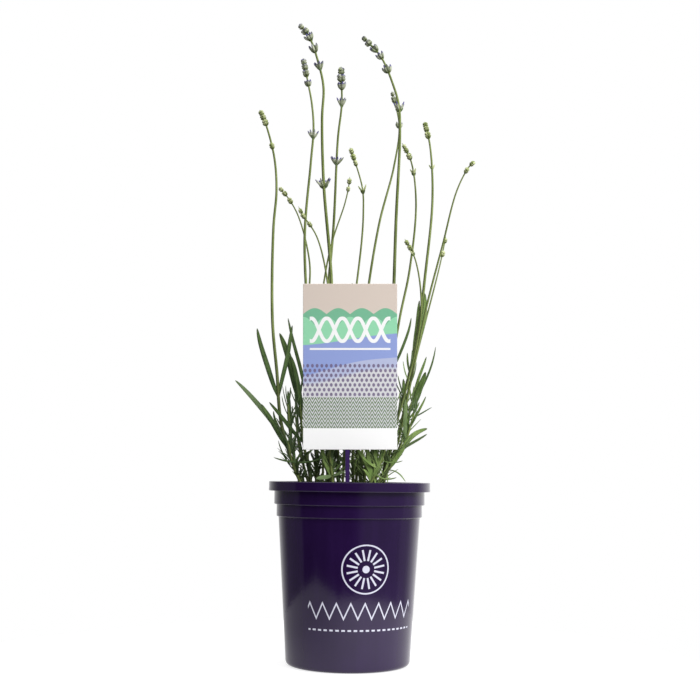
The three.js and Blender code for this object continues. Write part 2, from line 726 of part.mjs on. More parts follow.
place('pot', toGeometry(potSolid()), potPlastic);
place('soil', toGeometry(soilSolid()), soilMix);
place('label', labelGeometry(), labelPlastic);
stalks.forEach((stem) => place(stem.name, toGeometry(plantSolid(stem)), stalkGreen));
shoots.forEach((stem) => place(stem.name, toGeometry(plantSolid(stem)), leafGreen));

export default plant;
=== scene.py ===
# %% [markdown]
# # A lavender plant in its nursery pot
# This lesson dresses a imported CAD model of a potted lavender: a dark purple plastic pot, a soil
# filling, a printed plant label on a stem, fifteen flowering stalks and fourteen leafy shoots.
# The CAD model fixes where everything is. Here each piece gets its fine surface and its finish.

import math

import bpy
import numpy as np
from mathutils import Matrix, Vector


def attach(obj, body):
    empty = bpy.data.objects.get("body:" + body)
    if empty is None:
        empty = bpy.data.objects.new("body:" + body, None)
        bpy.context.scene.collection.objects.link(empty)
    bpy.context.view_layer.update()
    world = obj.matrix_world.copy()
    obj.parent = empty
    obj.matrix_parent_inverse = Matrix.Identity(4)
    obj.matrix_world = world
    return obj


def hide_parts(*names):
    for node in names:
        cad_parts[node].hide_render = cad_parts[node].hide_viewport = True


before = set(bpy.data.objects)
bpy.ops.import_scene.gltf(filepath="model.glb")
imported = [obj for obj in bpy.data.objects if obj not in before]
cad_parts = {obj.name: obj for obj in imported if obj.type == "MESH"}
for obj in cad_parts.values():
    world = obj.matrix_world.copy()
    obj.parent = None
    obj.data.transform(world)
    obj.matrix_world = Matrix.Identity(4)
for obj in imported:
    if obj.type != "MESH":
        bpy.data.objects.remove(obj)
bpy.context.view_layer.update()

# %% [markdown]
# ## Camera
# The photograph was taken from about a metre away, a little above the rim of the pot, with the
# camera tipped up a few degrees so that the tall stalks fit. Its numbers were found by matching
# the pot's rim and base, which are circles of known size. The picture is square, so a focal
# length in pixels becomes a lens length by the width of Blender's sensor.

# %% Set the camera
PICTURE = 700                       # width and height of the photograph in pixels
FOCAL_PIXELS = 1161.7
SENSOR = 36.0                       # millimetres
CAMERA_PLACE = (-0.00106, -1.014, 0.1599)
CAMERA_PITCH = 0.1073               # radians above the horizon
CAMERA_ROLL = 0.0117                # radians, turns the picture clockwise

scene = bpy.context.scene
lens = bpy.data.cameras.new("camera")
lens.sensor_width = SENSOR
lens.lens = SENSOR * FOCAL_PIXELS / PICTURE
lens.clip_start = 0.01
camera = bpy.data.objects.new("camera", lens)
camera.matrix_world = (
    Matrix.Translation(CAMERA_PLACE)
    @ Matrix.Rotation(math.pi / 2 + CAMERA_PITCH, 4, "X")
    @ Matrix.Rotation(CAMERA_ROLL, 4, "Z")
)
scene.collection.objects.link(camera)
scene.camera = camera
scene.view_settings.view_transform = "Standard"
print("lens in mm:", round(lens.lens, 2))

# %% [markdown]
# ## Writing a material as sums
# A shader is a graph of nodes. Wiring one by hand takes many lines, so a small class wraps an
# output socket and lets Python's own operators add the Math nodes: `0.3 + 0.2 * noise` reads as
# what it does. Colours and vectors have nodes of their own, because a Math node would turn a
# colour grey.

# %% A number that flows through the shader
def maths(operation, swapped=False):
    """An operator that adds one Math node, for a flow and another flow or a number."""

    def operator(flow, other=0.0):
        sockets = {0: other, 1: flow} if swapped else {0: flow, 1: other}
        return flow.finish.node("ShaderNodeMath", sockets, {"operation": operation})

    return operator


class Flow:
    """One output socket. Sums and products with it add Math nodes to its material."""

    def __init__(self, finish, socket):
        self.finish = finish
        self.socket = socket

    __add__ = __radd__ = maths("ADD")
    __sub__ = maths("SUBTRACT")
    __rsub__ = maths("SUBTRACT", swapped=True)
    __mul__ = __rmul__ = maths("MULTIPLY")
    __truediv__ = maths("DIVIDE")
    __pow__ = maths("POWER")
    __lt__ = maths("LESS_THAN")
    most = maths("MAXIMUM")
    wave = maths("SINE")
    size = maths("ABSOLUTE")
    part = maths("FRACT")           # what is left without the whole numbers
    bearing = maths("ARCTAN2")      # the angle from the other axis towards this one

    def rise(self, low, high):
        """0 below low, 1 above high, and a smooth slope in between."""
        sockets = {"Value": self, "From Min": low, "From Max": high}
        settings = {"interpolation_type": "SMOOTHSTEP"}
        return self.finish.node("ShaderNodeMapRange", sockets, settings)

# %% A finish, with one method for any node
class Finish:
    """One material, made of a Principled shader and the nodes that feed it."""

    def __init__(self, name, **plain):
        self.material = bpy.data.materials.new(name)
        self.material.use_nodes = True
        self.tree = self.material.node_tree
        self.shader = self.tree.nodes["Principled BSDF"]
        for socket, value in plain.items():
            self.shader.inputs[socket.replace("_", " ")].default_value = value

    def node(self, kind, sockets, settings=None, output=0):
        """Adds a node. Its settings are set first, and then each socket's value or link."""
        made = self.tree.nodes.new(kind)
        for key, value in (settings or {}).items():
            setattr(made, key, value)
        for key, value in sockets.items():
            socket = made.inputs[key]
            if isinstance(value, Flow):
                self.tree.links.new(value.socket, socket)
            elif socket.type == "RGBA":
                socket.default_value = (*value, 1.0)
            else:
                socket.default_value = value
        return Flow(self, made.outputs[output])

    def place(self):
        """The point on the piece, in metres from the middle of the pot's underside."""
        return self.node("ShaderNodeTexCoord", {}, output="Object")

    def axes(self, vector):
        """The three numbers of a vector."""
        split = self.node("ShaderNodeSeparateXYZ", {0: vector})
        outputs = split.socket.node.outputs
        return [Flow(self, outputs[i]) for i in range(3)]

    def mark(self, name):
        """The three numbers that the piece's mesh stores at each point."""
        return self.axes(self.node("ShaderNodeAttribute", {}, {"attribute_name": name}, "Vector"))

    def noise(self, scale, detail=3.0, roughness=0.5, stretch=None):
        """Cloudy noise over the piece, whose point is multiplied first by one number an axis."""
        vector = self.place()
        if stretch:
            sockets = {0: vector, 1: stretch}
            vector = self.node("ShaderNodeVectorMath", sockets, {"operation": "MULTIPLY"})
        sockets = {"Vector": vector, "Scale": scale, "Detail": detail, "Roughness": roughness}
        return self.node("ShaderNodeTexNoise", sockets)

    def cells(self, scale):
        """The distance to the nearest of many scattered points."""
        return self.node("ShaderNodeTexVoronoi", {"Scale": scale, "Vector": self.place()})

    def mix(self, share, first, second):
        """A colour that goes from the first to the second as share goes from 0 to 1."""
        sockets = {"Factor": share, 6: first, 7: second}
        return self.node("ShaderNodeMix", sockets, {"data_type": "RGBA"}, output=2)

    def layers(self, ground, *coats):
        """A colour with coats over it, each given as the share that it covers and its colour."""
        for share, coat in coats:
            ground = self.mix(share, ground, coat)
        return ground

    def feed(self, socket, value):
        """Links a value to a socket of the shader."""
        self.tree.links.new(value.socket, self.shader.inputs[socket])

    def finished(self, paint, roughness, height, distance, strength):
        """Feeds colour, roughness and a bump of up to a distance in metres. Gives the material."""
        sockets = {"Height": height, "Distance": distance, "Strength": strength}
        self.feed("Base Color", paint)
        self.feed("Roughness", roughness)
        self.feed("Normal", self.node("ShaderNodeBump", sockets))
        return self.material

# %% Colours as a screen gives them
def colour(red, green, blue):
    """A screen colour from 0 to 255 as a shader's linear numbers, by the sRGB formula."""
    share = np.array([red, green, blue]) / 255
    linear = np.where(share <= 0.04045, share / 12.92, ((share + 0.055) / 1.055) ** 2.4)
    return tuple(float(v) for v in linear)


print("a middle grey as linear numbers:", [round(v, 3) for v in colour(128, 128, 128)])

# %% [markdown]
# ## Writing a surface as a grid
# Almost everything on a plant is a bent tube: a stem, a leaf blade, a bud. Each is a row of
# rings, and each ring has the same number of points. Whole groups of like pieces are kept in one
# array of shape (pieces, rings, points, 3), so numpy can work them out together. The faces
# between the rings follow from the shape of the array alone.

# %% Turn arrays of rings into one closed mesh
def ring_faces(pieces, rings, points):
    """The corner numbers of the faces of closed tubes, as one flat array, and each face's start.

    Corner (p, r, c) has the number (p * rings + r) * points + c. A face joins four corners, and
    a face with as many corners as a ring closes each end.
    """
    r, c = np.meshgrid(np.arange(rings - 1), np.arange(points), indexing="ij")
    after = (c + 1) % points
    quads = np.stack([r * points + c, r * points + after, (r + 1) * points + after,
                      (r + 1) * points + c], axis=-1).reshape(-1)
    foot = np.arange(points)[::-1]
    top = (rings - 1) * points + np.arange(points)
    one = np.concatenate([quads, foot, top])
    sizes = np.concatenate([np.full(len(quads) // 4, 4), [points, points]])
    corners = (one[None] + (np.arange(pieces) * rings * points)[:, None]).reshape(-1)
    return corners, np.tile(sizes, pieces)


print("faces of a tube of 3 rings of 4 points:", len(ring_faces(1, 3, 4)[1]))

# %% Gather tubes into one object
class Piece:
    """Gathers tubes, with three numbers stored at each point, and becomes one object."""

    def __init__(self):
        self.points, self.marks, self.corners, self.sizes, self.worn = [], [], [], [], []
        self.count = 0

    def add(self, tubes, marks=None, finish=0):
        """Adds an array of tubes, of shape (pieces, rings, points, 3), in one of its finishes."""
        pieces, rings, points, _ = tubes.shape
        corners, sizes = ring_faces(pieces, rings, points)
        self.points.append(tubes.reshape(-1, 3))
        stored = np.zeros(tubes.shape) if marks is None else np.broadcast_to(marks, tubes.shape)
        self.marks.append(stored.reshape(-1, 3))
        self.corners.append(corners + self.count)
        self.sizes.append(sizes)
        self.worn.append(np.full(len(sizes), finish))
        self.count += pieces * rings * points
        return self

    def build(self, name, finishes, slot, replaces=()):
        """Makes the object, which rides on the pot's body and stands for its CAD nodes."""
        mesh = bpy.data.meshes.new(name)
        corners, sizes = np.concatenate(self.corners), np.concatenate(self.sizes)
        mesh.vertices.add(self.count)
        mesh.vertices.foreach_set("co", np.concatenate(self.points).astype(np.float32).ravel())
        mesh.loops.add(len(corners))
        mesh.loops.foreach_set("vertex_index", corners.astype(np.int32))
        mesh.polygons.add(len(sizes))
        starts = np.concatenate([[0], np.cumsum(sizes)[:-1]])
        mesh.polygons.foreach_set("loop_start", starts.astype(np.int32))
        mesh.polygons.foreach_set("use_smooth", np.ones(len(sizes), bool))
        for finish in finishes:
            mesh.materials.append(finish)
        worn = np.concatenate(self.worn).astype(np.int32)
        mesh.polygons.foreach_set("material_index", worn)
        mesh.update(calc_edges=True)
        stored = mesh.attributes.new("mark", "FLOAT_VECTOR", "POINT")
        stored.data.foreach_set("vector", np.concatenate(self.marks).astype(np.float32).ravel())
        thing = bpy.data.objects.new(name, mesh)
        scene.collection.objects.link(thing)
        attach(thing, "root")
        if replaces:
            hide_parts(*replaces)
        print(f"{name}: {int((sizes - 2).sum())} triangles")
        return thing

# %% Directions, angles and turned shapes
def unit(vectors):
    """Each vector divided by its own length."""
    return vectors / np.maximum(np.linalg.norm(vectors, axis=-1, keepdims=True), 1e-12)


def round_about(count):
    """The angles of evenly spaced points on a circle."""
    return 2 * np.pi * np.arange(count) / count


def spun(first, second, angle):
    """Two measures after a turn by an angle in radians, from the first axis to the second."""
    return (first * np.cos(angle) - second * np.sin(angle),
            first * np.sin(angle) + second * np.cos(angle))


def turned(profile, sides):
    """A profile of [radius, height] turned about the Z axis, as one tube.

    Point c of ring r is (radius cos a, radius sin a, height), with a = 2 pi c / sides.
    """
    profile = np.asarray(profile, float)
    a = round_about(sides)
    radius, height = profile[:, :1], profile[:, 1:]
    rings = np.stack([radius * np.cos(a), radius * np.sin(a), height + 0 * a], axis=-1)
    return rings[None]


print("pieces, rings, points and axes of a turned tube:", turned([[1, 0], [1, 1]], 8).shape)

# %% [markdown]
# ## The pot
# A nursery pot is injection moulded in one shot: a thin wall with a little taper so that it
# leaves the mould, a lip turned over at the rim for stiffness, and two steps under the lip that
# let pots stack without jamming. A turned profile gives all of it, with short arcs where the
# mould has its fillets, so that each edge catches a thin line of light as the real one does.

# %% The pot's profile
MM = 0.001
RIM_RADIUS = 70 * MM
POT_HEIGHT = 154 * MM
LIP_HEIGHT = 7.9 * MM
LIP_WALL = 1.6 * MM
BASE_RADIUS = 53 * MM
BASE_CORNER = 3.5 * MM
SHOULDER_RADIUS = 65 * MM
UPPER_STEP = 18.7 * MM
BAND_RADIUS = 62.8 * MM
LOWER_STEP = 29 * MM
BODY_RADIUS = 61 * MM
WALL = 1.6 * MM
FLOOR = 1.8 * MM
POT_SIDES = 192
DRAIN_HOLES = 8
DRAIN_RADIUS = 4.5 * MM
DRAIN_CIRCLE = 38 * MM
DRILL_SIDES = 32
SHARP_EDGE = 0.7 * MM               # radius of the rim's own edges
BEAD = 0.5 * MM                     # radius of the two steps' edges
CHAMFER = 0.4 * MM                  # under the lip


def fillet(corner, radius, start, end, steps):
    """Points on an arc round a corner of the profile, between two angles in degrees."""
    a = np.radians(np.linspace(start, end, steps))
    return [[corner[0] + radius * x, corner[1] + radius * y] for x, y in zip(np.cos(a), np.sin(a))]


def straight(start, end, steps):
    """Points between two ends of a straight stretch, the ends left out."""
    share = np.linspace(0, 1, steps + 2)[1:-1, None]
    return (np.array(start) * (1 - share) + np.array(end) * share).tolist()


def pot_profile():
    """The outline of the pot's wall, up the outside from the bottom and down the inside."""
    under_lip, lip_inner = POT_HEIGHT - WALL, RIM_RADIUS - LIP_WALL
    lip_low, lip_outer = POT_HEIGHT - LIP_HEIGHT, RIM_RADIUS - 0.3 * MM
    band_top, body_top = POT_HEIGHT - UPPER_STEP, POT_HEIGHT - LOWER_STEP
    foot = [BASE_RADIUS + 0.1 * MM, BASE_CORNER]
    body = [BODY_RADIUS, body_top - 1.2 * MM]
    outside = [
        *straight([1 * MM, 0], [BASE_RADIUS - BASE_CORNER, 0], 4),
        *fillet([BASE_RADIUS - BASE_CORNER, BASE_CORNER], BASE_CORNER, -90, 0, 8),
        foot,
        *straight(foot, body, 14),
        body,
        *fillet([BAND_RADIUS - BEAD, body_top], BEAD, -80, 20, 4),
        *straight([BAND_RADIUS, body_top], [BAND_RADIUS, band_top - 1 * MM], 2),
        [BAND_RADIUS, band_top - 1 * MM],
        *fillet([SHOULDER_RADIUS - BEAD, band_top], BEAD, -80, 20, 4),
        *straight([SHOULDER_RADIUS, band_top], [SHOULDER_RADIUS, under_lip], 2),
        [SHOULDER_RADIUS, under_lip - CHAMFER],
        [SHOULDER_RADIUS + CHAMFER, under_lip],
        [lip_inner - CHAMFER, under_lip],
        [lip_inner, under_lip - CHAMFER],
        [lip_inner, lip_low + 0.3 * MM],
        *fillet([RIM_RADIUS - SHARP_EDGE, lip_low + BEAD], BEAD, -135, -20, 4),
        [RIM_RADIUS - 0.15 * MM, lip_low + 1.2 * MM],
        [lip_outer, lip_low + 2.0 * MM],
        *fillet([lip_outer - SHARP_EDGE, POT_HEIGHT - SHARP_EDGE], SHARP_EDGE, 0, 90, 6),
    ]
    inside = [
        *fillet([SHOULDER_RADIUS - WALL + SHARP_EDGE, POT_HEIGHT - SHARP_EDGE],
                SHARP_EDGE, 90, 180, 5),
        [SHOULDER_RADIUS - WALL, band_top + 0.6 * MM],
        [BAND_RADIUS - WALL, band_top - 0.8 * MM],
        [BAND_RADIUS - WALL, body_top + 0.6 * MM],
        [BODY_RADIUS - WALL, body_top - 0.8 * MM],
        *straight([BODY_RADIUS - WALL, body_top], [BASE_RADIUS - WALL, BASE_CORNER + FLOOR], 4),
        [BASE_RADIUS - WALL, BASE_CORNER + FLOOR],
        [BASE_RADIUS - WALL - BASE_CORNER, FLOOR],
        *straight([BASE_RADIUS - WALL - BASE_CORNER, FLOOR], [1 * MM, FLOOR], 3),
        [1 * MM, FLOOR],
    ]
    return outside + inside


print("points in the pot's profile:", len(pot_profile()))

# %% [markdown]
# ## The pot's finish
# The plastic is coloured right through, so it has one deep purple with faint darker streaks
# where the melt flowed up the wall. Its gloss does most of the work: it is smooth enough to
# mirror the pale floor low down and the bright room at its edges, and handling has left fine
# upright scuffs that break the mirror up. The white print is a plain zigzag border with dashes
# under it and a ring of short rays above. Each is a distance to a line, measured in metres round
# the wall and up it, and a smooth step on that distance gives a clean printed edge.

# %% The white print
PRINT_ANGLE = math.radians(14)      # the print's middle, to the right of the front
PRINT_RADIUS = 0.0575               # the wall's radius at the print
HALF_PRINT = 0.0500                 # half the length of the border
RING_HEIGHT = 0.0838                # middle of the ring of rays
RING_RADIUS = 0.0195
DOT_RADIUS = 0.0030
RAYS = 16
RAY_ARC = 0.38                      # about the angle between two rays, in radians
RAY_MIDDLE = 0.0115                 # the middle of a ray, from the middle of the ring
RAY_REACH = 0.0045                  # and half its length
ZIGZAG_HEIGHT = 0.0500
ZIGZAG_RISE = 0.0125
ZIGZAG_PERIOD = 0.0120
DASH_HEIGHT = 0.0345
DASH_PERIOD = 0.0052
DASH_REACH = 0.0015
RING_LINE, RAY_LINE, ZIGZAG_LINE, DASH_LINE = 0.0006, 0.00075, 0.00055, 0.0007  # half widths
BLUR = 0.00012                      # half the width of a printed edge
WHOLE_CELLS = 50                    # added to a count of cells, so that it stays above 0


def stroke(distance, half_width):
    """1 within half_width of a line and 0 beyond it, with a short smooth step between."""
    return 1 - distance.rise(half_width - BLUR, half_width + BLUR)


def in_cell(along, period, shift=0.0):
    """For a row of cells, each a period long, the place inside the cell, from -0.5 to 0.5."""
    return (along / period + (shift + WHOLE_CELLS)).part() - 0.5


def printed_ornament(finish):
    """The white print on the pot as a mask: a ring of rays, a zigzag and a row of dashes."""
    x, y, z = finish.axes(finish.place())
    across = (x.bearing(y * -1) - PRINT_ANGLE) * PRINT_RADIUS
    up = z - RING_HEIGHT
    from_middle = (across * across + up * up) ** 0.5
    turn = across.bearing(up) * (RAYS / (2 * math.pi))
    from_ray = (turn.part() - 0.5).size() * from_middle * RAY_ARC
    rays = stroke(from_ray, RAY_LINE) * stroke((from_middle - RAY_MIDDLE).size(), RAY_REACH)
    ring = stroke((from_middle - RING_RADIUS).size(), RING_LINE)
    dot = stroke(from_middle, DOT_RADIUS)
    steepness = math.hypot(1, 2 * ZIGZAG_RISE / ZIGZAG_PERIOD)
    saw = in_cell(across, ZIGZAG_PERIOD).size() * 2
    off_line = (z - ZIGZAG_HEIGHT - (saw - 0.5) * ZIGZAG_RISE).size() / steepness
    dash = stroke(in_cell(across, DASH_PERIOD).size() * DASH_PERIOD, DASH_REACH)
    dashes = dash * stroke((z - DASH_HEIGHT).size(), DASH_LINE)
    border = stroke(off_line, ZIGZAG_LINE).most(dashes) * (across.size() < HALF_PRINT)
    in_front = y < 0
    return border.most(rays.most(ring).most(dot)) * in_front

# %% The purple plastic
def purple_plastic():
    finish = Finish("purple_plastic", IOR=1.5)
    flow = finish.noise(90, 4, 0.6, stretch=(1, 1, 0.06))
    cloud = finish.noise(16, 3)
    scuff = finish.noise(700, 3, 0.7, stretch=(1, 1, 0.035))
    tint = (cloud * 0.6 + flow * 0.4).rise(0.3, 0.7)
    plastic = finish.mix(tint, colour(29, 12, 50), colour(37, 18, 61))
    ink = printed_ornament(finish) * (0.93 + 0.07 * finish.noise(900, 2))
    printed = finish.mix(ink, plastic, colour(206, 206, 222))
    roughness = 0.08 + 0.06 * flow + 0.08 * scuff.rise(0.55, 0.8) + 0.3 * ink
    relief = finish.noise(420, 2) * 0.5 + flow * 0.5 + scuff * 0.15 + ink * 0.3
    return finish.finished(printed, roughness, relief, 0.00012, 0.35)


pot_finish = purple_plastic()
print("nodes in the pot's finish:", len(pot_finish.node_tree.nodes))

# %% [markdown]
# ## Making the pot
# The turned wall is one closed skin. Drain holes are cut from its floor with a Boolean modifier,
# whose result is then kept as the mesh. An edge sharper than 35 degrees is shaded as a crease,
# and all the rest is shaded smooth.

# %% Turn the wall, cut the drain holes, and finish the edges
def creased(thing, degrees):
    """Shades the piece smooth, but for edges sharper than an angle."""
    thing.data.set_sharp_from_angle(angle=math.radians(degrees))


def cut(thing, cutter):
    """Takes the cutter's volume out of the piece, and removes the cutter."""
    boolean = thing.modifiers.new("holes", "BOOLEAN")
    boolean.object = cutter
    boolean.solver = "EXACT"
    ready = thing.evaluated_get(bpy.context.evaluated_depsgraph_get())
    mesh = bpy.data.meshes.new_from_object(ready)
    thing.modifiers.clear()
    old, thing.data = thing.data, mesh
    bpy.data.meshes.remove(old)
    bpy.data.objects.remove(cutter)


wall = Piece().add(turned(pot_profile(), POT_SIDES))
pot = wall.build("pot_wall", [pot_finish], "pot_plastic", ["pot"])
around = 2 * np.pi * (np.arange(DRAIN_HOLES) + 0.5) / DRAIN_HOLES
middles = DRAIN_CIRCLE * np.stack([np.cos(around), np.sin(around), 0 * around], axis=-1)
drill = turned([[DRAIN_RADIUS, -MM], [DRAIN_RADIUS, FLOOR + MM]], DRILL_SIDES)
drills = Piece().add(drill + middles[:, None, None]).build("drills", [pot_finish], "pot_plastic")
cut(pot, drills)
creased(pot, degrees=35)
print("pot:", len(pot.data.polygons), "faces after drilling")

# %% [markdown]
# ## The potting mix
# Potting mix for herbs is dark peat and composted bark with a few pale grains of perlite. Its
# surface is a disc of rings whose height is a formula: a low mound with lumps, the same as in
# the CAD model, and fine crumbs on top. Loose chips of bark are small bent slabs, each a tube of
# five rings, turned and sunk by seeded draws.

# %% Shape the filling
SOIL_LEVEL = 141.0                  # millimetres, like all the plant's own measures below
CLEARANCE = 0.3
MOUND = 2                           # how much higher the middle is than the edge
MOUND_RADIUS = 61
LUMPS = 1.6
CRUMB_EDGE = 3                      # crumbs fade out over this distance at the wall
SOIL_SIDES = 160
SOIL_RINGS = 56


def soil_height(x, y):
    """The height of the surface in millimetres: the level, a mound and two crossed waves."""
    lumps = np.sin(0.31 * x + 1.3) * np.cos(0.27 * y) + 0.6 * np.sin(0.19 * x - 0.43 * y)
    mound = MOUND * np.cos(np.pi / 2 * np.minimum(1, np.hypot(x, y) / MOUND_RADIUS))
    return SOIL_LEVEL + mound + LUMPS * lumps


def crumbs(x, y):
    """Small crumbs in millimetres: two products of short waves that cross each other."""
    first = np.sin(1.9 * x + 0.7 * np.sin(0.9 * y)) * np.sin(1.7 * y + 0.8 * np.sin(1.1 * x))
    second = np.sin(3.7 * x - 2.9 * y) * np.sin(3.1 * x + 4.3 * y)
    return 0.55 * first + 0.25 * second


def soil_tube():
    """The filling as one tube: up along the pot's inner wall, then inwards over the surface."""
    a = round_about(SOIL_SIDES)
    edge = 1000 * (SHOULDER_RADIUS - WALL) - CLEARANCE
    foot = 1000 * (BASE_RADIUS - WALL) - CLEARANCE
    wall = [[1, 2.4], [foot - 3.5, 2.4], [foot, 5.6], [58.8, 124], [59.1, 134], [edge, 136.4]]
    low = np.array(wall)[:, :, None] * np.ones(SOIL_SIDES)
    inwards = np.concatenate([np.linspace(edge, 2, SOIL_RINGS), [0.5]])
    radius = inwards[:, None] * np.ones(SOIL_SIDES)
    x, y = radius * np.cos(a), radius * np.sin(a)
    fade = np.clip((edge - radius) / CRUMB_EDGE, 0, 1)
    height = soil_height(x, y) + crumbs(x, y) * fade
    radius = np.concatenate([low[:, 0], radius])
    height = np.concatenate([low[:, 1], height])
    return np.stack([radius * np.cos(a), radius * np.sin(a), height], axis=-1)[None] * MM

# %% The potting mix's finish
def potting_mix():
    finish = Finish("potting_mix")
    grain = finish.noise(380, 6, 0.7)
    patch = finish.noise(45, 3)
    grit = finish.cells(620)
    dark = finish.mix(patch.rise(0.35, 0.65), colour(38, 28, 21), colour(64, 48, 36))
    crumb = finish.mix(grain.rise(0.45, 0.7), dark, colour(96, 74, 54))
    mix = finish.mix(1 - grit.rise(0.05, 0.16), crumb, colour(150, 132, 108))
    return finish.finished(mix, 0.82 + 0.16 * grain, grain * 0.6 + grit * 0.4, 0.0012, 0.8)

# %% Scatter the bark chips
CHIPS = 420
CHIP_SIDES = 6
CHIP_RADIUS = 58                    # of the disc that they lie on


def bark_chips():
    """Loose chips as short flat tubes, bent a little.

    Along a chip s goes from -1 to 1. Its half width is w (1 - 0.75 s^4), its half thickness is a
    third of that, and its ends sag by 0.2 w s^2. Then it is tipped, turned and set down.
    """
    draw = np.random.default_rng(11)

    def each(low, high):
        """One number for every chip."""
        return draw.uniform(low, high, (CHIPS, 1, 1))

    s = np.array([-1, -0.8, 0, 0.7, 1])[None, :, None]
    a = round_about(CHIP_SIDES)[None, None]
    long, wide = each(1.2, 3.6), each(0.5, 1.3)
    half = wide * (1 - 0.75 * s**4)
    shape = [long * s + 0 * a, half * np.cos(a), 0.34 * half * np.sin(a) - 0.2 * wide * s**2]
    x, y, z = np.broadcast_arrays(*shape)
    tip, turn = each(-0.5, 0.5), each(0, np.pi)
    x, z = spun(x, z, tip)
    x, y = spun(x, y, turn)
    spread, heading = CHIP_RADIUS * np.sqrt(each(0, 1)), each(0, 2 * np.pi)
    east, north = spread * np.cos(heading), spread * np.sin(heading)
    points = np.stack([x + east, y + north, z + soil_height(east, north) + 0.5], axis=-1)
    return points * MM


filling = Piece().add(soil_tube()).add(bark_chips())
filling.build("potting_mix", [potting_mix()], "soil", ["soil"])

# %% [markdown]
# ## The label
# Plant labels are die-cut from thin printed sheet: a card with a narrow stem that is pushed into
# the soil. The card bows a little across its width, so it is a tube that runs up the card, whose
# rings are long thin rectangles with rounded ends. Each point keeps its own place on the printed
# sheet, so the print follows the bow. The print is made of bands and repeated figures only: a
# scalloped edge over green and violet bands, a plaited ribbon of two crossing waves, and below it
# rows of ovals over rows of small arrows, above a bare white strip.

# %% Shape the label
LABEL_WIDTH = 78.6
LABEL_HEIGHT = 138.4
LABEL_THICKNESS = 0.9
LABEL_BOW = 0.9                     # how far its sides lie behind its middle
LABEL_EDGE = 0.25                   # height of the thin rounded edge at its top and bottom
EDGE_SHARE = 0.35                   # share of the thickness that is left at an edge
LABEL_ROWS = 24
LABEL_COLUMNS = 25
LABEL_BOTTOM = 181.0
LABEL_FRONT = -42.0
LABEL_LEAN = math.radians(6.1)
LABEL_TURN = math.radians(0.67)
LABEL_STEM_WIDTH = 3.6
LABEL_STEM_LEFT = 4.0
ROOT_END = 121.0


def stand_label(across, out, up):
    """Turns and leans the flat label, and puts it where it stands. Measures in millimetres."""
    x, z = spun(across, up, LABEL_TURN)
    y, z = spun(out, z, LABEL_LEAN)
    return np.stack([x, y + LABEL_FRONT, z + LABEL_BOTTOM], axis=-1)[None] * MM


def sheet_marks(across, out, up):
    """The place on the printed sheet in millimetres, and 1 on the front face."""
    return np.stack([across, up, (out < 0) + 0 * across], axis=-1)[None]


def label_card():
    """The card: rings from its lower edge to its upper one, bowed back towards the sides."""
    inner = np.linspace(4, LABEL_HEIGHT - 4, LABEL_ROWS)
    ends = [[0, LABEL_EDGE], [LABEL_HEIGHT - LABEL_EDGE, LABEL_HEIGHT]]
    up = np.concatenate([ends[0], inner, ends[1]])[:, None]
    thin = np.ones(up.shape)
    thin[[0, -1]] = EDGE_SHARE
    side = np.concatenate([[-1], np.linspace(-0.993, 0.993, LABEL_COLUMNS - 2), [1]])
    side = np.concatenate([side, side[::-1]])[None]
    face = np.repeat([-1.0, 1.0], LABEL_COLUMNS)
    face[[0, LABEL_COLUMNS - 1, LABEL_COLUMNS, -1]] *= EDGE_SHARE
    level = face * thin * LABEL_THICKNESS / 2
    across = side * LABEL_WIDTH / 2 + 0 * up
    rows = up + 0 * across
    return stand_label(across, level + LABEL_BOW * side**2, rows), sheet_marks(across, level, rows)


def label_stem():
    """The stem: a flat strip that narrows to a point at its foot and ends inside the card."""
    length = (LABEL_BOTTOM - ROOT_END) / math.cos(LABEL_LEAN)
    up = np.array([-length, -length + 1, -length + 6, -40, -20, 0, 3.0])
    share = np.array([0.08, 0.3, 1, 1, 1, 1, 1])
    corners = np.array([[-1, -0.5], [-0.94, -1], [0.94, -1], [1, -0.5], [1, 0.5], [0.94, 1],
                        [-0.94, 1], [-1, 0.5]])
    middle = LABEL_STEM_WIDTH / 2 - LABEL_STEM_LEFT
    across = middle + corners[None, :, 0] * share[:, None] * LABEL_STEM_WIDTH / 2
    out = corners[None, :, 1] * (0.9 * LABEL_THICKNESS / 2) + 0 * across
    rows = up[:, None] + 0 * across
    return stand_label(across, out, rows), sheet_marks(across, out, np.minimum(rows, -1))

# %% The label's print
SCALLOP = 19.65                     # from one scallop to the next


def plait(across, up, middle, rise, period, half_width):
    """Two sine waves that cross each other, as a mask of their lines."""
    phase = across * (2 * math.pi / period)
    slope = (phase + math.pi / 2).wave() * (2 * math.pi * rise / period)
    lines = []
    for sign in (1, -1):
        gap = (up - middle - phase.wave() * (sign * rise)).size() / (1 + slope * slope) ** 0.5
        lines.append(1 - gap.rise(half_width - 0.15, half_width + 0.15))
    return lines[0].most(lines[1])


def oval_rows(across, up, wide, high, fill):
    """Staggered rows of upright ovals: 1 inside the oval of each cell of the pattern."""
    row = up / high
    shift = (row * 0.5).part().rise(0.499, 0.501) * 0.5
    x = in_cell(across, wide, shift) * 2
    y = (row.part() - 0.5) * 2
    away = ((x / (fill * 0.8)) ** 2 + (y / fill) ** 2) ** 0.5
    return 1 - away.rise(0.85, 1.05)


def arrow_rows(across, up, wide, high):
    """Rows of chevrons: bands of a saw-toothed height."""
    saw = in_cell(across, wide).size() * (2 * wide * 0.9)
    return in_cell(up + saw, high).rise(-0.04, 0.04)


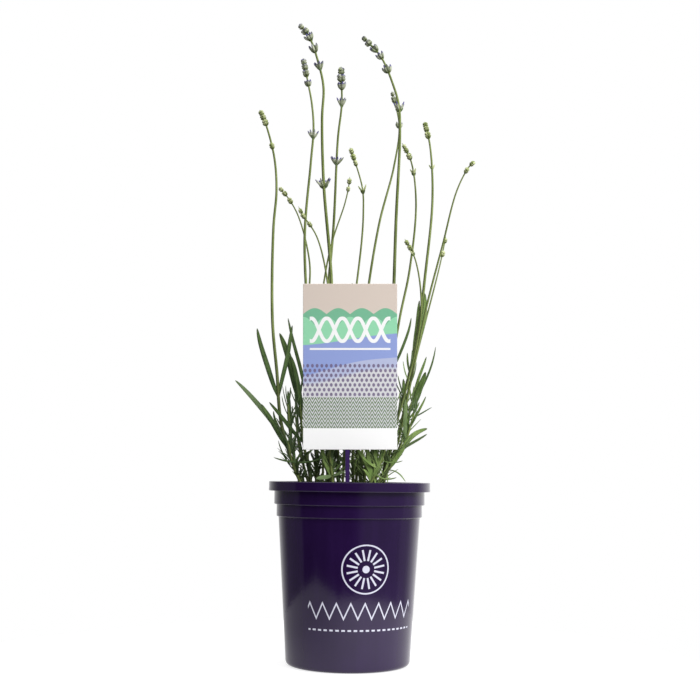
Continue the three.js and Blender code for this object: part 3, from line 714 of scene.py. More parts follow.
def label_print():
    """Layers of ink, each over the ones before it. Heights and lengths are in millimetres."""
    finish = Finish("label_print", IOR=1.46)
    across, up, front = finish.mark("mark")
    tone = finish.noise(210, 2)

    def scallops(height, shift, swing):
        """1 above a row of arches."""
        arches = ((across + shift) * (math.pi / SCALLOP)).wave().size() * swing
        return (up - arches).rise(height, height + 0.5)

    def below(height, climb, waves, start, swing, blur=0.5):
        """1 below a wavy line that climbs to the right."""
        line = across / LABEL_WIDTH * climb + (across * waves + start).wave() * swing
        return 1 - (up - line).rise(height, height + blur)

    ovals = oval_rows(across, up, 3.93, 4.0, 0.8) * (1 - up.rise(72, 72.5)) * up.rise(44.5, 45)
    arrows = arrow_rows(across, up, 5.24, 3.4) * (1 - up.rise(43.5, 44))
    ribbon = plait(across, up, 100, 9.5, 26, 1.5)
    border = 1 - (up - 84).size().rise(0.7, 0.9)
    inside = 1 - across.size().rise(33.5, 33.8)
    sheet = finish.layers(
        colour(151, 219, 178),                                          # upper green
        (scallops(103.6, 9.8, 7), colour(122, 188, 153)),               # deeper green
        (scallops(112.8, 0, 5), colour(218, 204, 193)),                 # beige top
        (below(91.8, 7, 0.05, 0, 1.5), colour(148, 164, 219)),          # violet band
        (below(70, 15, 0.06, 1.2, 2), colour(184, 191, 222)),           # pale violet
        (below(60, 12, 0.07, 0.4, 2, blur=4), colour(214, 214, 218)),   # greyish white
        (ovals * 0.9, finish.mix(tone, colour(128, 114, 150), colour(96, 84, 110))),
        (arrows * 0.9, finish.mix(tone, colour(104, 134, 76), colour(70, 98, 58))),
        (ribbon.most(border) * inside, colour(250, 250, 250)),
        (1 - up.rise(17.8, 18), colour(255, 255, 255)),                 # the bare strip
        (1 - front.rise(0.4, 0.6), colour(236, 237, 236)),              # the back
        (1 - up.rise(-0.9, -0.6), colour(58, 36, 92)),                  # the stem
    )
    roughness = 0.3 + 0.12 * finish.noise(60, 3) + 0.05 * tone
    return finish.finished(sheet, roughness, finish.noise(500, 2), 0.00008, 0.3)


card = Piece().add(*label_card()).add(*label_stem())
label = card.build("plant_label", [label_print()], "label_plastic", ["label"])
creased(label, degrees=30)

# %% [markdown]
# ## The plan of the plant
# The fine plant has to stand exactly where the CAD plant does, so it is planned by the same
# rule from the same few numbers: the path of each stalk, its whorls of buds, the leaves that were
# set one by one, and for the other leaves a rule that grows them in crossed pairs and bends each
# one clear of what is there already. Everything here is in millimetres. A path runs from the soil
# to the tip as [across, depth, height]. A whorl is [height, width, spread of its buds in degrees].
# A leaf is [height on the stalk, its tip's across, depth and height, width, bow]. The rule grows
# a stalk's pairs of leaves between two heights. Buds with violet tips are `tipped`, up to 1.

# %% The stalks and the shoots
STALKS = [
    dict(girth=1.05, pairs=[166, 176],
         path=[[-37, -4], [-45, -4, 160], [-60, 0, 203], [-65, 2, 249], [-70, 5, 296],
               [-71, 10, 379], [-69, 12, 415], [-72, 14, 447], [-82, 16, 482], [-86, 16, 490]],
         whorls=[[487, 6, 20], [483, 7, 24], [478, 7, 28], [456, 6, 26]],
         leaves=[[231, -82, -6, 287, 3.9, -5], [236, -52, 9, 292, 3.2, -2],
                 [184, -99, -26, 239, 4.0, -3], [188, -77, -14, 221, 3.2, 2],
                 [172, -74, -10, 200, 2.6, 2]]),
    dict(girth=0.75, pairs=[165, 200],
         path=[[-27, 16], [-31, 18, 182], [-37, 22, 226], [-39, 30, 318], [-39, 34, 353],
               [-51, 40, 399], [-64, 43, 420], [-69, 44, 425]],
         whorls=[[423, 5, 18], [419, 6, 24], [412, 6, 32]],
         leaves=[[212, -57, 20, 300, 3.2, 2]]),
    dict(girth=1.15, pairs=[168, 240], tipped=1.0,
         path=[[-17, -6], [-17, -6, 181], [-17, -7, 225], [-18, -9, 327], [-26, -14, 416],
               [-28, -20, 472], [-27, -24, 498], [-31, -26, 517], [-40, -29, 542],
               [-49, -30, 553]],
         whorls=[[551, 6, 24], [547, 9, 32], [542, 10, 40], [532, 10, 38], [516, 11, 46],
                 [414, 16, 52]]),
    dict(girth=0.75, pairs=[172, 215],
         path=[[-23, -12], [-23, -12, 177], [-21, -13, 215], [-19, -14, 276], [-21, -16, 324],
               [-31, -24, 365], [-44, -29, 384], [-47, -30, 390]],
         whorls=[[386, 4.5, 14], [382, 5.5, 18], [375, 5, 22]]),
    dict(girth=1.0, pairs=[162, 190], tipped=1.0,
         path=[[-29, 4], [-29, 4, 174], [-29, 6, 208], [-36, 8, 270], [-43, 14, 370],
               [-39, 25, 443], [-37, 28, 477], [-39, 30, 501], [-43, 32, 522], [-48, 34, 546]],
         whorls=[[542, 7, 20], [537, 8, 22], [531, 8, 24], [521, 8, 34], [470, 12, 42]]),
    dict(girth=1.0, pairs=[166, 250], tipped=1.0,
         path=[[-10, 12], [-11, 12, 182], [-19, 14, 235], [-22, 14, 306], [-17, 9, 383],
               [-14, -4, 459], [-11, -9, 488], [-12, -14, 521]],
         whorls=[[517, 8, 22], [511, 10, 28], [504, 9, 36], [489, 11, 46], [438, 14, 54]]),
    dict(girth=0.7, pairs=[170, 200],
         path=[[-19, 3], [-20, 3, 181], [-25, 6, 234], [-28, 8, 296], [-20, 6, 359],
               [-7, 1, 401], [-4, -1, 415], [-3, -2, 424]],
         whorls=[[420, 5, 22], [413, 4.5, 16]]),
    dict(girth=0.75, pairs=[164, 190],
         path=[[-6, -18], [-5, -18, 177], [-3, -21, 224], [0, -25, 284], [8, -33, 361],
               [9, -36, 384], [8, -40, 404], [0, -45, 430], [-3, -46, 438]],
         whorls=[[435, 5, 20], [430, 6, 22], [425, 5, 26], [403, 9, 55]],
         leaves=[[300, 1, -30, 326, 2.4, 0]]),
    dict(girth=1.15, pairs=[164, 230], tipped=1.0,
         path=[[18, 0], [20, 0, 178], [28, 1, 221], [35, 3, 279], [39, 9, 392], [42, 15, 465],
               [41, 18, 496], [36, 21, 516], [24, 24, 545], [7, 26, 564]],
         whorls=[[562, 6, 28], [558, 9, 32], [552, 9, 38], [545, 9, 38], [532, 10, 46],
                 [494, 13, 46]]),
    dict(girth=0.9, pairs=[166, 230], tipped=0.4,
         path=[[6, 14], [6, 14, 178], [8, 18, 226], [11, 22, 294], [24, 36, 388],
               [38, 47, 447], [43, 55, 489], [36, 60, 524]],
         whorls=[[521, 5, 22], [515, 7, 26], [489, 8, 40]]),
    dict(girth=0.85, pairs=[170, 190],
         path=[[21, -7], [24, -8, 182], [32, -10, 234], [42, -12, 297], [50, -15, 338],
               [55, -21, 396], [50, -30, 431], [42, -34, 446]],
         whorls=[[443, 5, 22], [440, 6, 24], [435, 6, 26], [422, 7, 44]],
         leaves=[[256, 53, -14, 298, 2.6, 3]]),
    dict(girth=0.75, pairs=[168, 176],
         path=[[29, -14], [36, -17, 190], [48, -24, 237], [57, -31, 279], [59, -37, 309],
               [53, -47, 342], [44, -52, 358]],
         whorls=[[355, 4.5, 14], [351, 5.5, 20], [347, 6, 38]],
         leaves=[[202, 58, -26, 228, 3, -2]]),
    dict(girth=1.05, pairs=[164, 250],
         path=[[28, 4], [32, 4, 176], [43, 7, 217], [53, 11, 255], [61, 16, 299],
               [66, 21, 340], [73, 31, 412], [71, 37, 464], [66, 40, 488]],
         whorls=[[485, 6, 20], [481, 7, 24], [475, 7, 28], [443, 7, 34]],
         leaves=[[268, 66, 9, 321, 4.2, 2], [262, 61, 20, 317, 3.8, 1]]),
    dict(girth=0.7, pairs=[168, 215],
         path=[[26, 20], [33, 20, 175], [43, 23, 200], [57, 34, 259], [69, 44, 305],
               [82, 56, 356], [88, 62, 384]],
         whorls=[[380, 5, 18], [367, 6, 24]]),
    dict(girth=0.8, pairs=[170, 240],
         path=[[28, -9], [42, -3, 191], [50, 0, 230], [59, -2, 274], [66, -5, 309],
               [79, -10, 361], [91, -17, 409], [101, -21, 429], [106, -22, 434]],
         whorls=[[432, 5, 20], [426, 5.5, 26]],
         leaves=[[206, 64, -8, 231, 3, -2]]),
]
SHOOTS = [
    dict(root=[-43, 3], top=[-55, 3, 222], longest=24,
         leaves=[[190, -71, 0, 222, 3, 2], [196, -57, 8, 236, 3.6, 0]]),
    dict(root=[-41, -12], top=[-53, -18, 188], longest=18,
         leaves=[[166, -65, -28, 174, 2, 3]]),
    dict(root=[-33, -1], top=[-46, 14, 236], longest=28,
         leaves=[[222, -64, 10, 285, 4.6, -3], [226, -54, 6, 266, 3.4, 2]]),
    dict(root=[-36, 26], top=[-50, 42, 214], longest=44),
    dict(root=[-14, 30], top=[-22, 54, 228], longest=48),
    dict(root=[10, 36], top=[12, 60, 216], longest=46),
    dict(root=[22, 24], top=[34, 50, 232], longest=48),
    dict(root=[12, -14], top=[16, -24, 212], longest=40,
         leaves=[[176, 29, -29, 168, 3, 2], [162, 26, -36, 158, 2.6, 3],
                 [166, 4, -36, 172, 2.8, 2]]),
    dict(root=[-14, -28], top=[-18, -33, 196], longest=36,
         leaves=[[160, -28, -36, 158, 3.4, 2], [158, -4, -38, 166, 3.2, 2],
                 [168, -32, -40, 178, 2.8, 3]]),
    dict(root=[3, 0], top=[2, 2, 246], longest=44),
    dict(root=[22, -30], top=[55, -16, 214], longest=20,
         leaves=[[196, 48, -14, 240, 2.8, 1], [176, 65, -22, 200, 3, 3],
                 [200, 60, -22, 226, 2.6, 2]]),
    dict(root=[16, -34], top=[32, -32, 196], longest=28,
         leaves=[[166, 46, -34, 174, 2, 3], [160, 40, -40, 160, 2.4, 3],
                 [172, 18, -36, 182, 2.8, 2]]),
    dict(root=[26, 12], top=[54, 8, 226], longest=22,
         leaves=[[206, 75, 8, 274, 4.8, -4], [214, 67, 12, 265, 3.4, -2],
                 [188, 66, -2, 229, 3, -2], [174, 67, 14, 197, 3, 3]]),
    dict(root=[-2, 24], top=[-4, 34, 252], longest=48),
]
print(len(STALKS), "stalks and", len(SHOOTS), "leafy shoots")

# %% [markdown]
# A stem's centre line is a Catmull-Rom curve, which passes through every point of its path. The
# plan uses the long straight pieces of the CAD model, and the mesh later uses short ones.

# %% Centre lines
UP = np.array([0.0, 0, 1])
TOWARDS_VIEWER = unit(np.array([0, -0.85, 0.5]))
PLAN_SPAN = 28.0                    # longest straight piece of a stem in the plan
FINE_SPAN = 3.5                     # and in the mesh
STEM_FOOT = 1.32                    # distance from corner to middle, as a share of the girth
STEM_TOP = 0.9
STRAIGHT_FROM = 139.0               # a stem stands upright between these two heights, where it
STRAIGHT_TO = 149.0                 # comes out of the soil


def smooth_line(points, longest):
    """A centripetal Catmull-Rom curve as points no more than about `longest` apart.

    Between two points it is a cubic. Its slope at each is made of the straight lines to the
    points before and after, each weighed by the square root of its length.
    """
    points = np.array(points, float)
    before, after = 2 * points[:1] - points[1:2], 2 * points[-1:] - points[-2:-1]
    all_points = np.concatenate([before, points, after])
    line = [points[:1]]
    for a, b, c, d in zip(all_points, all_points[1:], all_points[2:], all_points[3:]):
        ab, bc, cd = (np.linalg.norm(q - p) ** 0.5 for p, q in ((a, b), (b, c), (c, d)))
        leave = ((b - a) / ab - (c - a) / (ab + bc) + (c - b) / bc) * bc
        arrive = ((c - b) / bc - (d - b) / (bc + cd) + (d - c) / cd) * bc
        count = math.ceil(np.linalg.norm(c - b) / longest)
        t = (np.arange(1, count + 1) / count)[:, None]
        bend = (3 * (c - b) - 2 * leave - arrive) * t**2 + (2 * (b - c) + leave + arrive) * t**3
        line.append(b + leave * t + bend)
    return np.concatenate(line)


def stem_points(path):
    """The upright stretch in the soil, and then the path."""
    x, y = path[0]
    return [[x, y, ROOT_END], [x, y, STRAIGHT_FROM], [x, y, STRAIGHT_TO], *path[1:]]


def shoot_path(shoot):
    """A shoot's root, a point two thirds of the way out and half way up, and its top."""
    (x, y), (far, deep, top) = shoot["root"], shoot["top"]
    middle = [(x + 2 * far) / 3, (y + 2 * deep) / 3, (STRAIGHT_TO + top) / 2]
    return [[x, y], middle, shoot["top"]]


def place_at(line, height):
    """The point of a line at a height, and the last point where the line doesn't reach it."""
    above = np.flatnonzero(line[:, 2] >= height)
    if len(above) == 0 or above[0] == 0:
        return line[-1]
    low, high = line[above[0] - 1], line[above[0]]
    return low + (high - low) * (height - low[2]) / (high[2] - low[2])


print("points in the first stalk:", len(smooth_line(stem_points(STALKS[0]["path"]), FINE_SPAN)))

# %% [markdown]
# A leaf is planned as one quadratic curve, from its root over a control point to its tip. The
# space that is taken so far is a long list of balls along all stems and leaves. A new leaf is
# tried at several headings, steeper, and shorter, until none of its own balls comes near another.

# %% Leaves as curves and as balls
LEAF_WIDTH = 3.6
LEAF_GAP = 0.7
TURNS = [0, 20, -20, 40, -40, 60, -60]      # degrees round the stem
TRIES = [[0, 1], [14, 1], [0, 0.75], [14, 0.75], [22, 0.55]]    # degrees steeper, share of length
BALL_STEP = 2.5                     # from one ball to the next
BALL_SHARE = 0.8                    # of the leaf's half breadth
OVER_SOIL = 3                       # room between the leaves and the soil
TO_LABEL = 4                        # and between the leaves and the label
WALL_TOP = 157                      # below this height they stay inside the wall's radius
INSIDE_WALL = 55.4
MOST_BALLS = 60000


def bent(start, bend, end, u):
    """The points at shares u of a quadratic curve from start to end, pulled towards bend."""
    return (1 - u) ** 2 * start + 2 * u * (1 - u) * bend + u**2 * end


def bent_ahead(start, bend, end, u):
    """The directions of that curve at shares u."""
    return unit(2 * (1 - u) * (bend - start) + 2 * u * (end - bend))


def plan_leaf(root, tip, width, bow, look):
    """Its bow lifts the middle of the curve off the straight line, square to it and upwards."""
    chord = tip - root
    lift = unit(np.cross(unit(np.cross(chord, UP)), chord))
    return dict(root=root, control=(root + tip) / 2 + 2 * bow * lift, tip=tip, width=width,
                look=look)


def plan_breadth(u):
    """Half the planned breadth along a leaf, as a share of its width."""
    return 0.5 * np.minimum(1, 0.42 + 1.6 * u) * np.sqrt(np.maximum(0, 1 - u**6))


def leaf_balls(leaf):
    """Places every few millimetres along a leaf, and the radius of the ball at each."""
    count = math.ceil(np.linalg.norm(leaf["tip"] - leaf["root"]) / BALL_STEP)
    u = (np.arange(count) + 1)[:, None] / count
    places = bent(leaf["root"], leaf["control"], leaf["tip"], u)
    return places, BALL_SHARE * leaf["width"] * plan_breadth(u[:, 0])


def in_open_air(places, reach):
    """Whether balls lie above the soil, inside the pot's wall and behind the label."""
    x, y, z = places.T
    behind = LABEL_FRONT - (z - LABEL_BOTTOM) * math.tan(LABEL_LEAN) + TO_LABEL
    in_soil = z < soil_height(x, y) + OVER_SOIL + reach
    at_wall = (z < WALL_TOP) & (np.hypot(x, y) > INSIDE_WALL)
    at_label = (np.abs(x) < LABEL_WIDTH / 2 + TO_LABEL) & (y < behind)
    return not np.any(in_soil | at_wall | at_label)

# %% The space that is taken
class Space:
    """The balls that are taken, each with the number of its stem."""

    def __init__(self):
        self.places = np.zeros((MOST_BALLS, 3))
        self.reach, self.owner = np.zeros(MOST_BALLS), np.zeros(MOST_BALLS)
        self.count = 0

    def take(self, places, reach, owner):
        """Adds the balls of one stem or leaf."""
        span = slice(self.count, self.count + len(places))
        self.places[span], self.reach[span], self.owner[span] = places, reach, owner
        self.count += len(places)

    def is_free(self, places, reach, owner):
        """Whether balls are in the open air and away from the balls of all other stems."""
        if not in_open_air(places, reach):
            return False
        theirs = self.owner[:self.count] != owner
        others, radii = self.places[:self.count][theirs], self.reach[:self.count][theirs]
        gaps = np.linalg.norm(places[:, None] - others[None], axis=-1)
        return bool(np.all(gaps > reach[:, None] + radii[None] + LEAF_GAP))


def bend_clear(space, root, heading, rise, length, width, bow, owner):
    """A leaf from a root at a heading and a rise in degrees, bent clear, or None."""
    for steeper, share in TRIES:
        for turn in TURNS:
            a, e = math.radians(heading + turn), math.radians(rise + steeper)
            outward = np.array([math.cos(a), math.sin(a), 0])
            reach = outward * math.cos(e) + UP * math.sin(e)
            leaf = plan_leaf(root, root + reach * length * share, width, bow * share,
                             UP - 0.5 * outward)
            if space.is_free(*leaf_balls(leaf), owner):
                return leaf
    return None


print("ways to try a leaf:", len(TRIES) * len(TURNS))

# %% Plan every stem
SEED_STEP, FACTOR, PRIME = 7919, 16807, 2147483647      # for the plan's chance numbers
FIRST_SHOOT = 20                    # the first shoot's index, for its draws
SHOOT_GIRTH = 1.0
LOWEST_PAIR = 156                   # height of a shoot's lowest pair of leaves
SHOOT_GAP = 10.5                    # from a pair of leaves to the next
STALK_GAP = 20
STALK_LEAF = 30                     # length of a stalk's longest leaf


def draws(seed):
    """Numbers from 0 to 1. Each state is the last one times the factor, less whole primes."""
    state = SEED_STEP * (seed + 1)
    while True:
        state = state * FACTOR % PRIME
        yield state / PRIME


def plan_stem(space, index, girth, path, set_leaves, whorls):
    """One stem: its lines, and the space that it and its own set leaves take."""
    points = stem_points(path)
    line = smooth_line(points, PLAN_SPAN)
    heights = np.arange(SOIL_LEVEL, line[-1][2], BALL_STEP)
    space.take(np.array([place_at(line, h) for h in heights]), girth, index)
    for height, width, _ in whorls:
        space.take(place_at(line, height)[None], width / 2, index)
    leaves = []
    for height, x, y, z, width, bow in set_leaves:
        tip = np.array([x, y, z], float)
        leaves.append(plan_leaf(place_at(line, height), tip, width, bow, TOWARDS_VIEWER))
        space.take(*leaf_balls(leaves[-1]), index)
    return dict(index=index, girth=girth, line=line, fine=smooth_line(points, FINE_SPAN),
                whorls=whorls, leaves=leaves)


def grow_pairs(space, stem, lowest, highest, gap, longest):
    """Pairs of leaves, each a quarter turn from the one below, steeper towards the top.

    Here u goes from 0 at the lowest pair to 1 at the highest. A leaf rises by 42 + 30 u degrees,
    and it is longest near u = 1/2. Draws turn it by up to 12 degrees and tip it by up to 8.
    """
    draw = draws(stem["index"])
    start = 360 * next(draw)
    pairs = max(1, round((highest - lowest) / gap))
    for pair in range(pairs + 1):
        u = pair / pairs
        root = place_at(stem["line"], lowest + (highest - lowest) * u)
        for side in (0, 180):
            heading = start + 90 * pair + side + 24 * (next(draw) - 0.5)
            rise = 42 + 30 * u + 16 * (next(draw) - 0.5)
            fullness = 0.55 + 0.45 * math.sin(math.pi * (0.15 + 0.75 * u))
            length = longest * fullness * (0.9 + 0.2 * next(draw))
            width = LEAF_WIDTH * (0.75 + 0.3 * next(draw))
            bow = length * (0.03 - 0.09 * u)
            leaf = bend_clear(space, root, heading, rise, length, width, bow, stem["index"])
            if leaf:
                stem["leaves"].append(leaf)
                space.take(*leaf_balls(leaf), stem["index"])


space = Space()
stalks = [plan_stem(space, i, s["girth"], s["path"], s.get("leaves", []), s["whorls"])
          for i, s in enumerate(STALKS)]
shoots = [plan_stem(space, i, SHOOT_GIRTH, shoot_path(s), s.get("leaves", []), [])
          for i, s in enumerate(SHOOTS, FIRST_SHOOT)]
for stem, shoot in zip(shoots, SHOOTS):
    grow_pairs(space, stem, LOWEST_PAIR, shoot["top"][2] - 1, SHOOT_GAP, shoot["longest"])
for stem, stalk in zip(stalks, STALKS):
    grow_pairs(space, stem, *stalk["pairs"], STALK_GAP, STALK_LEAF)
print("leaves planned:", sum(len(stem["leaves"]) for stem in stalks + shoots))

# %% [markdown]
# ## Stems
# Lavender stems are square with rounded edges, and shallow furrows run down their four sides.
# The section is a ring of eight points, four corners and four points pressed in between them,
# carried along the stem's curve. One corner is kept towards the same side all the way, so the
# stem doesn't twist.

# %% Carry the square section along a stem
CORNER = np.array([1.0, 1, 0])
STEM_SIDES = 8                      # four corners and four furrows
FURROW = 0.9                        # a furrow's distance from the middle, as a share
FINE_GIRTH = 1.27                   # a corner's distance, as a share of the CAD stem's
CHANCES = 16                        # chance colours of leaves, buds and stems


def cross_directions(axis):
    """Two directions square to each axis: one over towards the corner, and one square to both."""
    side = unit(CORNER - axis * (axis @ CORNER)[..., None])
    return side, np.cross(axis, side)


def line_tangents(line):
    """The direction at each point of a line: from the point before it to the point after it."""
    ahead = np.concatenate([line[1:], line[-1:]])
    behind = np.concatenate([line[:1], line[:-1]])
    return unit(ahead - behind)


def rings_round(line, side, other, radius, a):
    """Rings of points round a line: line + radius (side cos a + other sin a)."""
    ring = (radius * np.cos(a))[..., None] * side[..., None, :]
    ring = ring + (radius * np.sin(a))[..., None] * other[..., None, :]
    return line[..., None, :] + ring


def first_mark(chance, share, span=0.97):
    """A chance colour's whole number, and how far along as its part, kept off 0 and 1."""
    return chance + 0.01 + span * share


def marked(*marks):
    """Three marks for every point."""
    return np.stack(np.broadcast_arrays(*marks), axis=-1)


def stem_tube(stem, chance):
    """The section's radius is larger at the four corners, and shrinks from foot to top."""
    line = stem["fine"]
    side, other = cross_directions(line_tangents(line))
    share = (line[:, 2] - ROOT_END) / (line[-1, 2] - ROOT_END)
    taper = STEM_FOOT + (STEM_TOP - STEM_FOOT) * share
    corner = FINE_GIRTH * stem["girth"] * taper * (1 - 0.3 * share**5)
    corner[-1] *= 0.3
    odd = np.arange(STEM_SIDES) % 2
    a = round_about(STEM_SIDES)
    radius = corner[:, None] * np.where(odd, FURROW, 1.0)
    tube = rings_round(line, side, other, radius, a)
    # The third mark says how far each point of the section faces right. The stem's finish uses it
    # for painted shade on the left side.
    marks = marked(first_mark(chance, share[:, None], 0.98), odd, np.cos(a + math.pi / 4))
    return tube[None] * MM, marks[None]


print("pieces, rings, points and axes of a stem:", stem_tube(stalks[0], 0)[0].shape)

# %% [markdown]
# ## Leaf blades
# A lavender leaf is narrow, with a groove along its midrib, a rib under it, and margins that roll
# down. All of a stem's leaves are worked out together. Along each leaf runs its planned curve.
# Across it the section goes over the top face from edge to edge and back along the under face.

# %% Carry the blade's section along each leaf
LEAF_RINGS = 13
TOP_FACE = np.array([-1, -0.64, -0.26, 0, 0.26, 0.64, 1])
UNDER_FACE = np.array([0.72, 0.3, 0, -0.3, -0.72])
HALF_THICK = 0.2                    # of a blade, in millimetres
RIB = 0.4
FULL_TURN = 6.28                    # radians


def blade_breadth(u):
    """Half the breadth along a leaf: narrow at the base, full beyond it, and a blunt tip."""
    return 0.5 * (1 - 0.6 * (1 - u) ** 4) * (1 - 0.38 * u**2) * (1 - u**9) ** 0.5


def blade_tubes(leaves, draw, roll=0.3):
    """All blades of a stem as tubes, with the marks that colour them.

    With t from -1 to 1 across, the middle of the blade lies at half (0.12 |t| - roll t^4), so the
    sides lift and the margins roll down. The top face is raised by 0.2 mm, less a groove at the
    midrib, and the under face is lowered by 0.2 mm and by a rib of 0.4 mm. Rings stand closer
    together towards the tip. Draws twist each blade a little and let it sway.
    """
    root, control, tip = (np.array([leaf[k] for leaf in leaves])[:, None]
                          for k in ("root", "control", "tip"))
    look = np.array([leaf["look"] for leaf in leaves])[:, None]
    width = np.array([leaf["width"] for leaf in leaves])[:, None]
    count = len(leaves)
    s = np.linspace(0, 1, LEAF_RINGS)
    u = (1 - (1 - s) ** 1.5)[None, :, None] * 0.997
    centre, tangent = bent(root, control, tip, u), bent_ahead(root, control, tip, u)
    across = unit(np.cross(tangent, look + 0 * tangent))
    upward = np.cross(across, tangent)
    u = u[..., 0]
    twist = draw.normal(0, 0.25, (count, 1)) * u + draw.normal(0, 0.1, (count, 1))
    across, upward = spun(across, upward, -twist[..., None])
    wavy = draw.uniform(0, FULL_TURN, (count, 1))
    length = np.linalg.norm(tip - root, axis=-1)
    sway = 0.035 * length * np.sin(5 * u + wavy) * u * (1 - u)
    centre = centre + across * sway[..., None]
    half = width * blade_breadth(u)
    t = np.concatenate([TOP_FACE, UNDER_FACE])[None, None]
    top = (np.arange(t.size) < len(TOP_FACE))[None, None]
    body = (1 - 0.8 * u**6)[..., None]
    raised = HALF_THICK - HALF_THICK * np.exp(-((t / 0.2) ** 2))
    lowered = -HALF_THICK - RIB * np.exp(-((t / 0.22) ** 2))
    level = np.where(top, raised, lowered) * body * (1 - 0.5 * (np.abs(t) == 1))
    level = level + half[..., None] * (0.12 * np.abs(t) - roll * t**4)
    tube = centre[:, :, None] + across[:, :, None] * (half[..., None] * t)[..., None]
    tube = tube + upward[:, :, None] * level[..., None]
    drawn = draw.integers(0, CHANCES, count)
    shade = np.array([leaf.get("shade", number) for leaf, number in zip(leaves, drawn)])
    along = first_mark(shade[:, None, None], u[..., None])
    return tube * MM, marked(along, t, np.where(top, 0.0, 1.0))


print("breadth along a leaf:", (2 * blade_breadth(np.linspace(0, 1, 6))).round(2))

# %% [markdown]
# ## Whorls of buds
# Lavender flowers sit in whorls. Each bud is a ribbed cup, the calyx, narrow at its base and with
# small teeth at its mouth, where the violet tip of the closed flower shows. The cups stand on
# curved lines that leave the stalk, swell to the whorl's width and turn up. Small papery bracts
# lie under each whorl.

# %% The calyx's outline
BUD_RINGS = np.array([0, 0.1, 0.26, 0.48, 0.68, 0.82, 0.84, 0.9, 0.96, 1.0])
BUD_GIRTH = np.array([0.3, 0.52, 0.82, 1.0, 1.0, 0.9, 0.64, 0.66, 0.42, 0.08])
BUD_TEETH = np.array([0, 0, 0, 0, 0, 0.3, 0, 0, 0, 0])
BUD_SIDES = 10
OPEN_SPREAD = 34                    # a whorl whose buds spread this far apart stands open
WIDE_WHORL = 10.5                   # an open one wider than this has a fan of tipped buds
TALLEST_HALF = 4.4                  # of a whorl
print("rings of a bud:", len(BUD_RINGS))

# %% Plan the buds
def whorl_frame(stem, height):
    """The middle of a whorl, the stalk's direction there, and two directions square to it."""
    centre = place_at(stem["fine"], height)
    ahead, behind = place_at(stem["fine"], height + 1.5), place_at(stem["fine"], height - 1.5)
    axis = unit(ahead - behind)
    side, other = cross_directions(axis)
    return centre, axis, side, other


def plan_buds(stem, draw, tipped):
    """The buds of a stalk, each as three points of its line, its girth, axis and violet share.

    An open whorl is a fan or a cup. A fan has four slender buds that leave one spot on the
    stalk, or six stouter ones where a wide whorl has violet tips. A cup has six buds, with an
    upright pair inside. A closed whorl is an egg: its buds swell out to the whorl's width and
    come together again over it. A whorl is as tall as the room to its nearest neighbour allows,
    so that close ones make a spike.
    """
    buds = []
    for number, (height, width, spread) in enumerate(stem["whorls"]):
        centre, axis, side, other = whorl_frame(stem, height)
        is_open = spread >= OPEN_SPREAD
        is_tip = number == 0 and tipped > 0
        room = min(abs(height - near[0]) for near in stem["whorls"] if near[0] != height)
        height_share = 0.42 if is_open else 0.47 if is_tip else 0.58
        half = min(TALLEST_HALF, height_share * width, 0.4 + 0.6 * room)
        girth = 1.12 if width > 7.5 else 0.15 * width + 0.08
        edge = 0.5 * width - girth
        fan = [(0.03 * width, -0.75), (0.42 * edge, -0.2), (edge + 0.5 * girth, 1.15)]
        cup = [(0.04 * width, -0.9), (0.85 * edge, -0.5), (edge + 0.3 * girth, 0.98)]
        egg = [(0.05 * width, -1.0), (1.45 * edge, -0.2), (0.5 * edge, 0.92)]
        core = [(0.0, -0.6), (0.14 * width, 0.1), (0.14 * width, 0.95)]
        if is_open and not tipped:
            rings = [(4, fan, 0.62)]
        elif is_open and width > WIDE_WHORL:
            rings = [(6, fan, 0.84)]
        elif is_open:
            rings = [(6, cup, 1.0), (2, core, 0.9)]
        else:
            rings = [(6, egg, 1.0), (3, core, 0.85)]
        for ring, (count, shape, size) in enumerate(rings):
            for i in range(count):
                a = 2 * math.pi * (i + 0.5 * (number + ring)) / count + draw.normal(0, 0.16)
                heading = side * math.cos(a) + other * math.sin(a)
                reach, rise = draw.uniform(0.82, 1.0), draw.uniform(0.85, 1.0)
                violet = draw.uniform(0.15, 1) if is_open else draw.uniform(0, 0.75)
                points = [centre + heading * out * (reach if k else 1) + axis * half * up * rise
                          for k, (out, up) in enumerate(shape)]
                buds.append((*points, girth * size * draw.uniform(0.88, 1.05), axis,
                             violet * tipped))
    return buds

# %% Carry the calyx's section along each bud
def bud_tubes(stem, draw, tipped):
    """Every bud of a stalk as a tube along the quadratic curve of its three points.

    Its radius follows the calyx's outline: narrow at the base, full, and drawn in at the mouth,
    where every second rib runs on into a tooth round the tip of the flower.
    """
    columns = [np.array(v) for v in zip(*plan_buds(stem, draw, tipped))]
    girth, violet = columns[3][:, None, None], columns[5][:, None, None]
    start, bend, end, axis = (columns[i][:, None] for i in (0, 1, 2, 4))
    u = BUD_RINGS[None, :, None]
    tangent = bent_ahead(start, bend, end, u)
    one = unit(np.cross(tangent, axis + 1e-3 * CORNER))
    two = np.cross(tangent, one)
    odd = np.arange(BUD_SIDES) % 2
    radius = girth * BUD_GIRTH[None, :, None] * (0.93 + 0.14 * odd)
    tube = rings_round(bent(start, bend, end, u), one, two, radius, round_about(BUD_SIDES))
    teeth = girth * BUD_TEETH[None, :, None] * (2 * odd - 1)
    tube = tube + tangent[:, :, None] * teeth[..., None]
    chance = draw.integers(0, CHANCES, (len(girth), 1, 1))
    return tube * MM, marked(first_mark(chance, u), odd, violet)

